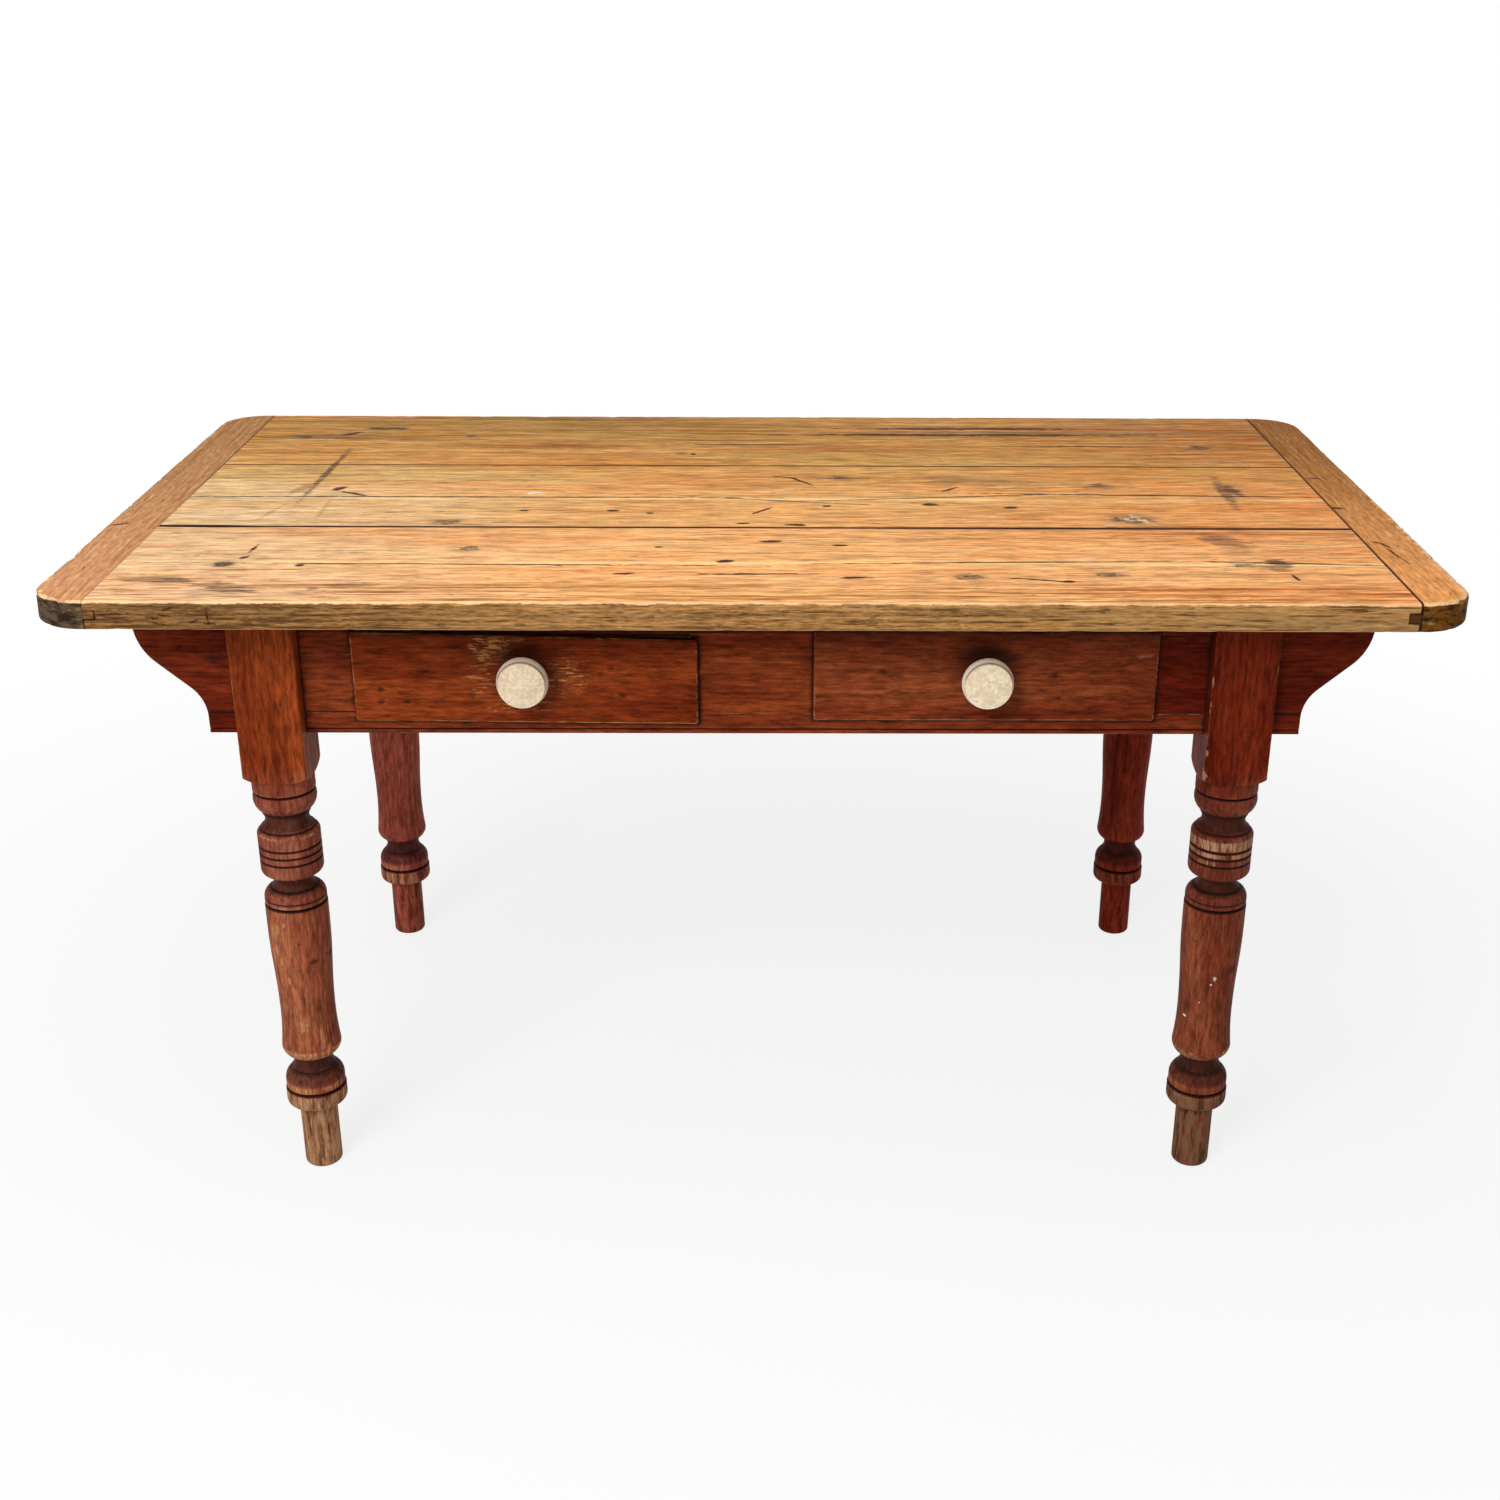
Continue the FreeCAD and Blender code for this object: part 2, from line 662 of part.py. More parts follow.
def make_slides():
    """Runners, guides and kickers of the drawers, with the screws that hold guides and top."""
    guide_screws = []
    top_screws = {"front": [], "middle": [], "back": []}
    rows = {
        "front": f"{FRONT_SEAM} - top_screw_inset",
        "middle": f"({FRONT_SEAM} + {BACK_SEAM})/2",
        "back": f"{BACK_SEAM} + top_screw_inset",
    }
    for name, (runner_x, guide_x, kicker_x) in slide_places().items():
        guide_middle = f"({guide_x[0]} + {guide_x[1]})/2"
        kicker_middle = f"({kicker_x[0]} + {kicker_x[1]})/2"
        held = []
        for end, way in ENDS.items():
            y = f"{way}*({FRAME_BACK} - guide_screw_inset)"
            top = f"{OPEN_LOW} + guide_height"
            held.append(screw(f"guide_screw_{name}_{end}", guide_middle, y, top, "guide_screw_long", False))
        guide_screws += held
        tall = (f"{OPEN_LOW} - runner_thick", OPEN_LOW)
        bar = block(f"runner_{name}_bar", runner_x, (RAIL_BACK, FRAME_BACK), tall)
        whole = fuse(f"runner_{name}_whole", [bar, *runner_tongues(f"runner_{name}_tongue", runner_x)])
        keep(cut(f"runner_{name}", whole, held), f"runner_{name}")
        strip = block(f"guide_{name}_strip", guide_x, (f"-{FRAME_BACK}", FRAME_BACK),
                      (OPEN_LOW, f"{OPEN_LOW} + guide_height"))
        keep(cut(f"guide_{name}", strip, held), f"guide_{name}")
        room = []
        for board, y in rows.items():
            head = f"{OPEN_HIGH} + top_screw_sink"
            fixing = screw(f"top_screw_{name}_{board}", kicker_middle, y, head, "top_screw_long", True)
            top_screws[board].append(fixing)
            sink = f"top_sink_{name}_{board}"
            room += [fixing, rod(sink, "z", kicker_middle, y, OPEN_HIGH, "top_screw_sink", "screw_head_dia")]
        strip = block(f"kicker_{name}_strip", kicker_x, (RAIL_BACK, FRAME_BACK), (OPEN_HIGH, TOP_UNDER))
        keep(cut(f"kicker_{name}", strip, room), f"kicker_{name}")
    group("guide_screws", guide_screws)
    return top_screws


def make_top(screws):
    """Three planks and two end pieces."""
    edge = "table_width/2"
    top_board("top_board_front", f"-{edge}", FRONT_SEAM, ["front"], ["back"], screws["front"])
    top_board("top_board_middle", FRONT_SEAM, BACK_SEAM, [], ["front", "back"], screws["middle"])
    top_board("top_board_back", BACK_SEAM, edge, ["back"], ["front"], screws["back"])
    for side, way in SIDES.items():
        top_end(f"top_end_{side}", way)
    group("top_screws", [one for row in screws.values() for one in row])


def make_front_frame():
    """Bottom rail, top rail and three stiles round the two drawer openings."""
    sockets_low = []
    sockets_high = []
    for name, x in stile_places().items():
        post = block(f"{name}_post", x, (f"-{APRON_Y}", f"-{FRAME_BACK}"), (OPEN_LOW, OPEN_HIGH))
        keep(fuse(name, [post, *stile_stubs(f"{name}_stub", x)]), name)
        low, high = stile_stubs(f"{name}_socket", x, "tenon_gap")
        sockets_low.append(low)
        sockets_high.append(high)
    for name, (x, _, _) in slide_places().items():
        sockets_low.append(runner_tongues(f"rail_groove_{name}", x, "tenon_gap")[0])
    long = f"2*{LEG_IN_X}"
    section = beaded_section(-1, APRON_Y, APRON_LOW, OPEN_LOW, "rail_depth")
    rail = beaded_rail("front_bottom", "YZ", section, long)
    tenons = end_tenons("front_bottom_tenon", "front_bottom_rail").values()
    whole = fuse("front_bottom_whole", [rail, *tenons])
    keep(cut("front_bottom_rail", whole, sockets_low), "front_bottom_rail")
    rail = block("front_top", (f"-{LEG_IN_X}", LEG_IN_X), (f"-{APRON_Y}", RAIL_BACK), (OPEN_HIGH, TOP_UNDER))
    whole = fuse("front_top_whole", [rail, *end_tenons("front_top_tenon", "front_top_rail").values()])
    keep(cut("front_top_rail", whole, sockets_high), "front_top_rail")


def make_aprons():
    """Back apron and two side aprons, beaded on the outside."""
    section = beaded_section(1, APRON_Y, APRON_LOW, TOP_UNDER, "apron_thick")
    rail = beaded_rail("back_apron", "YZ", section, f"2*{LEG_IN_X}")
    whole = fuse("back_apron_whole", [rail, *end_tenons("back_apron_tenon", "back_apron").values()])
    runners = {name: places[0] for name, places in slide_places().items()}
    grooves = [runner_tongues(f"apron_groove_{name}", x, "tenon_gap")[1] for name, x in runners.items()]
    keep(cut("back_apron", whole, grooves), "back_apron")
    for side, way in SIDES.items():
        section = beaded_section(way, APRON_X, APRON_LOW, TOP_UNDER, "apron_thick")
        rail = beaded_rail(f"side_apron_{side}", "XZ", section, f"2*{LEG_IN_Y}")
        tenons = side_tenons(f"side_apron_{side}_tenon", way).values()
        keep(fuse(f"side_apron_{side}", [rail, *tenons]), f"side_apron_{side}")


def bracket(label, side, end, dowels):
    """A scrolled bracket in line with the apron, with its bead carried on along the foot."""
    body = doc.addObject("PartDesign::Body", f"{label}_board")
    cove_out = "scroll_cove*(1 - cos(scroll_angle*1deg))"
    cove_up = "scroll_cove*sin(scroll_angle*1deg)"
    nose_out = "scroll_nose*(1 - cos(scroll_angle*1deg))"
    nose_up = "scroll_nose*sin(scroll_angle*1deg)"
    slope_from = f"bracket_foot + {cove_out}"
    slope_to = f"bracket_reach - {nose_out}"
    slope_low = f"scroll_lift + {cove_up}"
    slope_high = f"{slope_low} + ({slope_to} - ({slope_from}))/tan(scroll_angle*1deg)"
    scroll = [
        ("0", "0"),
        ("bracket_foot", "0"),
        ("bracket_foot", "scroll_lift"),
        (slope_from, slope_low, "scroll_cove", COVE),
        (slope_to, slope_high),
        ("bracket_reach", f"{slope_high} + {nose_up}", "scroll_nose", BEAD),
        ("bracket_reach", "apron_height"),
        ("0", "apron_height"),
    ]
    path = []
    for across, up, *bend in scroll:
        curve = (bend[0], bend[1] * side) if bend else ()
        path.append((f"{side}*({LEG_OUT_X} + {across})", f"{APRON_LOW} + {up}", *curve))
    board = pad(body, outline(body, "XZ", path), "apron_thick")
    outer = 0 if end > 0 else -number("apron_thick")
    low = number(APRON_LOW)
    foot = edges(board, lambda box: at(box.YMin, outer) and at(box.YMax, outer) and at(box.ZMax, low))
    ease(body, "Fillet", board, foot, "bead_radius")
    place(body, "0", APRON_Y if end > 0 else f"-{FRAME_BACK}")
    long = span(side, LEG_OUT_X, f"{LEG_OUT_X} + bracket_foot")
    deep = span(end, f"{APRON_Y} - bead_radius", APRON_Y)
    quirk = f"{APRON_LOW} + 2*bead_radius"
    groove = block(f"{label}_quirk", long, deep, (quirk, f"{quirk} + bead_quirk"))
    return keep(cut(label, body, [groove, *dowels]), label)


def make_legs_and_brackets():
    """Four legs, each with a bracket dowelled to its outer face."""
    all_dowels = []
    mortises = {name: end_tenons(f"{name}_mortise", name, "tenon_gap")
                for name in ("front_bottom_rail", "front_top_rail", "back_apron")}
    for side, way in SIDES.items():
        side_mortises = side_tenons(f"side_mortise_{side}", way, "tenon_gap")
        for end, to in ENDS.items():
            dowels = []
            for level in ("dowel_low", "dowel_high"):
                start = span(way, f"{LEG_OUT_X} - dowel_long/2", f"{LEG_OUT_X} + dowel_long/2")[0]
                y = f"{to}*({APRON_Y} - apron_thick/2)"
                name = f"{level}_{side}_{end}"
                dowels.append(rod(name, "x", start, y, f"{APRON_LOW} + {level}", "dowel_long", "dowel_dia"))
            all_dowels += dowels
            rails = ("front_bottom_rail", "front_top_rail") if to < 0 else ("back_apron",)
            room = [side_mortises[end], *[mortises[rail][side] for rail in rails], *dowels]
            leg(f"leg_{end}_{side}", way, to, room)
            bracket(f"bracket_{end}_{side}", way, to, dowels)
    group("bracket_dowels", all_dowels)


def drawer_side(label, x):
    """Blank of a drawer side with three tails on its front end."""
    body = doc.addObject("PartDesign::Body", label)
    path = [(BOX_REAR, BOX_LOW), (BOX_REAR, BOX_HIGH), (FRONT_BACK, BOX_HIGH)]
    tip = f"({FRONT_BACK} - tail_long)"
    for count in (5, 3, 1):
        middle = f"({BOX_LOW} + box_height*{count}/6)"
        path.append((FRONT_BACK, f"{middle} + tail_narrow/2"))
        path.append((tip, f"{middle} + tail_wide/2"))
        path.append((tip, f"{middle} - tail_wide/2"))
        path.append((FRONT_BACK, f"{middle} - tail_narrow/2"))
    path.append((FRONT_BACK, BOX_LOW))
    pad(body, outline(body, "YZ", path), "side_thick")
    place(body, x)
    return body


def drawer_front(label, way, middle, sag):
    """Blank of a drawer front: a lip over the frame with a rebated back that fits the opening."""
    body = doc.addObject("PartDesign::Body", f"{label}_blank")
    inner = f"{middle} - {way}*({OPEN_HALF} + lip_side)"
    outer = f"{middle} + {way}*({OPEN_HALF} + lip_side)"
    low, high = f"{OPEN_LOW} - lip_low", f"{OPEN_HIGH} + lip_high"
    lip = [
        (inner, f"{low} - {sag['low_inner']}"),
        (outer, f"{low} - {sag['low_outer']}"),
        (outer, f"{high} - {sag['high_outer']}"),
        (inner, f"{high} - {sag['high_inner']}"),
    ]
    face = pad(body, outline(body, "XZ", lip), "lip_thick")
    thick = number("lip_thick")
    corners = edges(face, lambda box: at(box.YLength, thick))
    face = ease(body, "Fillet", face, corners, "lip_corner")
    rim = edges(face, lambda box: at(box.YMin, -thick) and at(box.YMax, -thick))
    ease(body, "Fillet", face, rim, "lip_round")
    left, right = f"{middle} - {BOX_HALF}", f"{middle} + {BOX_HALF}"
    plug = [(left, BOX_LOW), (right, BOX_LOW), (right, BOX_HIGH), (left, BOX_HIGH)]
    pad(body, outline(body, "XZ", plug), "front_thick - lip_thick", reverse=True)
    place(body, "0", LIP_BACK)
    return body


def knob(label, x, bolt):
    """A turned ceramic knob with a narrow foot, a wide rim and a slightly domed face."""
    body = doc.addObject("PartDesign::Body", f"{label}_form")
    path = [
        ("0", "0"),
        ("knob_base_dia/2", "0"),
        ("knob_base_dia/2", "-knob_base"),
        ("knob_neck_dia/2", "-knob_base"),
        ("knob_under_dia/2", "-knob_under_at",
         sweep("knob_under_at - knob_base", "(knob_under_dia - knob_neck_dia)/2"), BEAD),
        ("knob_rim_dia/2", "-knob_rim_at",
         sweep("knob_rim_at - knob_under_at", "(knob_rim_dia - knob_under_dia)/2"), COVE),
        ("knob_face_dia/2", "-knob_face_at",
         sweep("knob_face_at - knob_rim_at", "(knob_rim_dia - knob_face_dia)/2"), COVE),
        ("0", "-(knob_face_at + knob_dome)", sweep("knob_face_dia/2", "knob_dome"), COVE),
    ]
    form = body.newObject("PartDesign::Revolution", f"{label}_turning")
    form.Profile = outline(body, "XY", path)
    form.ReferenceAxis = (form.Profile[0], ["V_Axis"])
    form.Angle = 360
    place(body, x, FACE_Y, KNOB_Z)
    return keep(cut(label, body, [bolt]), label)


def knob_hardware(side, x, bolt):
    """Washer and nut that pull the knob tight from inside the drawer."""
    nut_y = f"{FRONT_BACK} + washer_thick"
    ring = rod(f"washer_disc_{side}", "y", x, FRONT_BACK, KNOB_Z, "washer_thick", "washer_dia")
    keep(cut(f"knob_washer_{side}", ring, [bolt]), f"knob_washer_{side}")
    hexagon = doc.addObject("Part::Prism", f"nut_hexagon_{side}")
    hexagon.Polygon = 6
    bind(hexagon, Circumradius="nut_across/sqrt(3)", Height="nut_thick")
    place(hexagon, x, nut_y, KNOB_Z, (1, 0, 0), -90)
    keep(cut(f"knob_nut_{side}", hexagon, [bolt]), f"knob_nut_{side}")


def drawer(side, way, sag):
    """One drawer: dovetailed front and sides, housed back, grooved bottom, knob and its bolt."""
    name = f"drawer_{side}"
    middle = f"{way}*{DRAWER_X}"
    inside = f"({BOX_HALF} - side_thick)"
    blanks = {
        "side_left": drawer_side(f"{name}_side_left_blank", f"{middle} - {BOX_HALF}"),
        "side_right": drawer_side(f"{name}_side_right_blank", f"{middle} + {inside}"),
    }
    back_y = (f"{BOX_REAR} - back_inset - back_thick", f"{BOX_REAR} - back_inset")
    back_x = (f"{middle} - {inside} - housing", f"{middle} + {inside} + housing")
    panel_x = (f"{middle} - {inside} - panel_tongue", f"{middle} + {inside} + panel_tongue")
    panel_top = f"({PANEL_LOW} + panel_thick)"
    panel_y = (f"{FRONT_BACK} - panel_tongue", back_y[1])
    panel = block(f"{name}_panel", panel_x, panel_y, (PANEL_LOW, panel_top))
    back = block(f"{name}_rear", back_x, back_y, (panel_top, f"{BOX_HIGH} - back_drop"))
    nails = []
    for count in (-1, 0, 1):
        place_x = f"{middle} + {count}*({inside} - nail_inset)"
        y = f"{back_y[1]} - back_thick/2"
        nails.append(rod(f"{name}_nail_{count + 1}", "z", place_x, y, PANEL_LOW, "nail_long", "nail_dia"))
    bolt_start = f"{FACE_Y} - bolt_in_knob"
    bolt_long = "bolt_in_knob + front_thick + washer_thick + nut_thick + bolt_end"
    bolt = rod(f"knob_bolt_{side}", "y", middle, bolt_start, KNOB_Z, bolt_long, "bolt_dia")
    front = drawer_front(f"{name}_front", way, middle, sag)
    keep(cut(f"{name}_front", front, [*blanks.values(), panel, bolt]), f"{name}_front")
    for part, blank in blanks.items():
        keep(cut(f"{name}_{part}", blank, [panel, back]), f"{name}_{part}")
    keep(cut(f"{name}_back", back, nails), f"{name}_back")
    keep(cut(f"{name}_bottom", panel, nails), f"{name}_bottom")
    group(f"{name}_nails", nails)
    knob(f"knob_{side}", middle, bolt)
    keep(bolt, f"knob_bolt_{side}")
    knob_hardware(side, middle, bolt)


def make_drawers():
    """The left front has dropped at its inner end with wear; the right one sits square."""
    corners = ("low_inner", "low_outer", "high_inner", "high_outer")
    drawer("left", -1, {corner: f"sag_{corner}" for corner in corners})
    drawer("right", 1, {corner: "0" for corner in corners})


def check_and_write():
    """Stop on any failed feature or bad shape, then write one file for each node."""
    doc.recompute()
    for thing in doc.Objects:
        if "Invalid" in thing.State or "Error" in thing.State:
            raise RuntimeError(f"{thing.Label}: {thing.State}")
    for node in nodes:
        if node.Shape.isNull() or not node.Shape.isValid():
            raise RuntimeError(f"{node.Label}: bad shape")
    os.makedirs("parts", exist_ok=True)
    for node in nodes:
        node.Shape.exportStep(f"parts/{node.Label}.step")
        print(f"{node.Label}: {len(node.Shape.Solids)} solids, {node.Shape.Volume / 1000:.1f} cm3")


make_top(make_slides())
make_front_frame()
make_aprons()
make_legs_and_brackets()
make_drawers()
check_and_write()
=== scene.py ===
import json
import math
import bpy
from mathutils import Matrix, Vector, noise


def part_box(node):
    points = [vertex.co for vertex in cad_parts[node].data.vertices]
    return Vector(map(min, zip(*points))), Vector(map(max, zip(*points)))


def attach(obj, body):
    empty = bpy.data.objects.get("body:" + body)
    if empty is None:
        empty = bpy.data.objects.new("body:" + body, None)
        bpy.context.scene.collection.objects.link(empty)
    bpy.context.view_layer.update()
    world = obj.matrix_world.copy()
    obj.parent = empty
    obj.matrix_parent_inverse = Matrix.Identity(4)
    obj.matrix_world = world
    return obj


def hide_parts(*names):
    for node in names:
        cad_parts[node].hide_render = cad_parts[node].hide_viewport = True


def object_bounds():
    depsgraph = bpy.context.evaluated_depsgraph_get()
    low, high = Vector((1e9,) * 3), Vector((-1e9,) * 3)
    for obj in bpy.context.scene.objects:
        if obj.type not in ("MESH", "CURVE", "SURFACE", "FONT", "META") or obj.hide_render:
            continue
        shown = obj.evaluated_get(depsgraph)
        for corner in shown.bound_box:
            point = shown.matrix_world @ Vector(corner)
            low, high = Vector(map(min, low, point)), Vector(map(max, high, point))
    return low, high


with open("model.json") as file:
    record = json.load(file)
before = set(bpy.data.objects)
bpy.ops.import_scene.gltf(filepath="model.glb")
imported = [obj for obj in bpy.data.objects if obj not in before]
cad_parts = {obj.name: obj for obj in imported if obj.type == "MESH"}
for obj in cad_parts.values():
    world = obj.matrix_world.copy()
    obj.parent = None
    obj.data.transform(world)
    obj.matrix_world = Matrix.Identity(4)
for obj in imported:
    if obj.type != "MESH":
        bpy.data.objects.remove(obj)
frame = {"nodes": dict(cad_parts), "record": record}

CAD_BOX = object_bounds()
NODES = frame["nodes"]
SLOT_OF = {part["node"]: part["material_slot"] for part in frame["record"]["subparts"]}

# Photograph: size, focal length and picture centre in pixels; the camera's stand in metres and radians
PHOTO_PX = 1500
FOCAL_PX = 1963.0
CENTRE_PX = (798.5, 798.4)
SENSOR_MM = 36
CAMERA_AT = (0.0270, -2.3642, 1.3965)
PITCH_DOWN = 0.4157
YAW = -0.0103
ROLL = 0.0056

# Turns that lay a piece's grain along the pattern's own X axis
ALONG_X = (0, 0, 0)
ALONG_Y = (0, 0, -math.pi / 2)
ALONG_Z = (0, math.pi / 2, 0)
# Heart line of a board's rings beside the middle of the board, in metres
HEART_OFFSET = (0.03, 0.05, -0.04)

# Places in metres, read from the frame
TOP_LOW, TOP_HIGH = Vector(CAD_BOX[0]), Vector(CAD_BOX[1])
TOP_Z = TOP_HIGH.z
TOP_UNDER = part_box("top_board_front")[0].z
FRONT_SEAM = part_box("top_board_front")[1].y
BACK_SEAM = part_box("top_board_back")[0].y
END_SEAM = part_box("top_board_front")[1].x
RAIL_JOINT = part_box("front_bottom_rail")[1].z
# Sizes and places in metres that the frame doesn't give: the groove above the bottom rail's bead, the corners
# of the top, the end pieces' tongues, and the depths in front of which marks on the front and on the face of
# the legs' blocks lie
QUIRK_RISE = 0.0058
RAIL_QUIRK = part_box("front_bottom_rail")[0].z + QUIRK_RISE
CORNER_RADIUS = 0.058
TONGUE_LONG, TONGUE_LOW, TONGUE_HIGH = 0.012, 0.741, 0.751
FRONT_DEPTH = -0.305
BLOCK_DEPTH = -0.334

# Colours, as linear red, green and blue
# Honey colours of the top, lighter towards the front partly as painted light
HONEY_FRONT = (0.90, 0.465, 0.190)
HONEY_MIDDLE = (0.79, 0.395, 0.134)
HONEY_BACK = (0.59, 0.290, 0.068)
HONEY_PALE = (0.96, 0.60, 0.26)
# Pale yellow of the painted highlights beside cracks
CRACK_HIGHLIGHT = (1.0, 0.72, 0.33)
PLANK_BROWN = (0.24, 0.085, 0.022)
PLANK_DARK = (0.030, 0.011, 0.006)
PLANK_GREY = (0.30, 0.195, 0.110)
PAINT_WHITE = (0.84, 0.78, 0.70)
SPLINTER_PALE = (0.90, 0.63, 0.36)
SMUDGE_GREY = (0.085, 0.050, 0.030)
SEAM_DARK = (0.030, 0.008, 0.005)
EDGE_KHAKI = (0.37, 0.176, 0.052)
EDGE_GREY = (0.245, 0.132, 0.050)
EDGE_PALE = (0.56, 0.32, 0.12)
EDGE_DARK = (0.075, 0.030, 0.010)
END_GREY = (0.088, 0.056, 0.034)
END_BROWN = (0.150, 0.057, 0.006)
END_DARK = (0.026, 0.014, 0.007)
END_PALE = (0.27, 0.15, 0.058)
LEFT_END_BACK = (0.45, 0.218, 0.080)
LEFT_END_FRONT = (0.62, 0.295, 0.140)
RIGHT_END_BACK = (0.34, 0.132, 0.027)
RIGHT_END_FRONT = (0.88, 0.385, 0.122)
ARRIS_PALE = (0.86, 0.56, 0.29)
RUST_RED = (0.190, 0.0325, 0.0070)
OXBLOOD = (0.168, 0.0305, 0.0095)
OXBLOOD_WARM = (0.212, 0.041, 0.0108)
OXBLOOD_SOFT = (0.194, 0.042, 0.0135)
OXBLOOD_DULL = (0.138, 0.018, 0.0055)
OXBLOOD_DEEP = (0.118, 0.013, 0.0040)
# Turning of the back legs, made lighter to make up for the shade of the top: painted light
SHADED_BROWN = (0.315, 0.080, 0.0520)
SHADED_RED = (0.190, 0.0235, 0.0105)
TURNED_BROWN = (0.295, 0.088, 0.0420)
TURNED_RED = (0.195, 0.049, 0.0220)
BARE_YELLOW = (0.56, 0.29, 0.085)
BARE_TAN = (0.55, 0.315, 0.160)
BARE_ORANGE = (0.66, 0.290, 0.110)
BARE_BROWN = (0.150, 0.083, 0.043)
BARE_PALE = (0.52, 0.310, 0.165)
BARE_ROSE = (0.40, 0.175, 0.105)
BARE_GREY = (0.20, 0.115, 0.060)
# Dark colour of grime, and of painted shade in hollows, gaps and under the top
GRIME_AND_SHADE = (0.018, 0.007, 0.005)
RAW_PINE = (0.56, 0.37, 0.19)
RAW_DEEP = (0.34, 0.19, 0.085)
CREAM = (0.80, 0.70, 0.52)
CREAM_DEEP = (0.56, 0.44, 0.28)
# White of the painted highlight on the knobs' rims
GLAZE_HIGHLIGHT = (0.92, 0.87, 0.80)
# Brown of crazed glaze, and of the painted shade round a knob's face
CRAZE_AND_SHADE_BROWN = (0.20, 0.145, 0.085)
STEEL = (0.30, 0.29, 0.28)
RUST = (0.16, 0.075, 0.035)
FLOOR_GREY = (0.88, 0.88, 0.88)
WHITE = (1, 1, 1)

# Tints that change a colour when it is multiplied by them
LATE_TINT = (0.72, 0.60, 0.46)
STREAK_TINT = (0.58, 0.44, 0.30)
PALE_TINT = (0.92, 1.10, 1.50)
GREY_TINT = (1.05, 1.20, 1.36)
KHAKI_TINT = (0.80, 0.88, 0.74)
RED_TINT = (1.0, 0.84, 0.74)
KNEE_TINT = (0.80, 0.78, 1.0)
BELL_TINT = (0.66, 0.68, 0.95)
FOOT_TINT = (0.30, 0.24, 0.19)
GLAZE_TINT = {"knob_left": (0.95, 0.89, 0.84), "knob_right": (1.07, 1.03, 1.0)}
COOL_STAIN = (0.80, 0.66, 0.62)
WARM_STAIN = (1.22, 1.30, 1.20)
LATE_STAIN = (0.66, 0.52, 0.50)
STREAK_STAIN = (0.55, 0.42, 0.40)
FIBRE_STAIN = (0.62, 0.50, 0.48)
THIN_STAIN = (1.35, 1.55, 1.60)
BLOTCH_STAIN = (0.45, 0.36, 0.38)

# Sheen of old, dry wood, and of glaze and steel
WOOD_SPECULAR = 0.03
GLOSSY_SPECULAR = 0.5

# Height of the relief in metres: scrubbed top, stained wood and bare wood
TOP_RELIEF = 0.0008
STAIN_RELIEF = 0.0004
RAW_RELIEF = 0.0005

# Light: the surround's strength where it isn't seen; place, aim and size in metres and watts of each lamp
SURROUND_STRENGTH = 0.40
LAMPS = {
    "lamp_front": ((-1.5, -3.0, 2.8), (0, -0.2, 0.5), (1.8, 1.4), 100),
    "lamp_above": ((-0.3, -0.6, 3.2), (0, 0, 0.7), (2.4, 2.0), 22),
}
# Side of the floor in metres, and the distances between which it fades to white
FLOOR_SIZE = 40
FLOOR_FADE = (0.7, 2.2)


class Net:
    """Short words for adding nodes to a node tree and joining them."""

    def __init__(self, tree):
        self.tree = tree

    def join(self, socket, value):
        value = value.socket if isinstance(value, Value) else value
        if isinstance(value, bpy.types.NodeSocket):
            self.tree.links.new(value, socket)
        else:
            socket.default_value = (*value, 1) if socket.type == "RGBA" and len(value) == 3 else value

    def add(self, kind, settings=None, *values, **inputs):
        """A node with its settings; values go to its inputs in their order, inputs to those they name."""
        node = self.tree.nodes.new(kind)
        for name, value in (settings or {}).items():
            setattr(node, name, value)
        for socket, value in zip(node.inputs, values):
            self.join(socket, value)
        for name, value in inputs.items():
            self.join(node.inputs[name.replace("_", " ")], value)
        return node

    def out(self, kind, settings=None, *values, **inputs):
        """The first output of a new node."""
        return Value(self, self.add(kind, settings, *values, **inputs).outputs[0])

    def blend(self, share, first, second, way="MIX"):
        """A colour between two others."""
        node = self.add("ShaderNodeMix", {"data_type": "RGBA", "blend_type": way}, Factor=share)
        colours = [socket for socket in node.inputs if socket.type == "RGBA"]
        self.join(colours[0], first)
        self.join(colours[1], second)
        return Value(self, next(socket for socket in node.outputs if socket.type == "RGBA"))

    def seen(self):
        """1 for the rays that meet a surface straight from the camera, in a mirror or through glass."""
        path = {socket.name: Value(self, socket) for socket in self.add("ShaderNodeLightPath").outputs}
        return path["Is Camera Ray"] | path["Is Glossy Ray"] | path["Is Transmission Ray"]


def operator(step):
    """A value's operator for one step of mathematics, with the value on the left and on the right."""
    def left(self, other):
        return self.reckon(step, self, other)

    def right(self, other):
        return self.reckon(step, other, self)
    return left, right


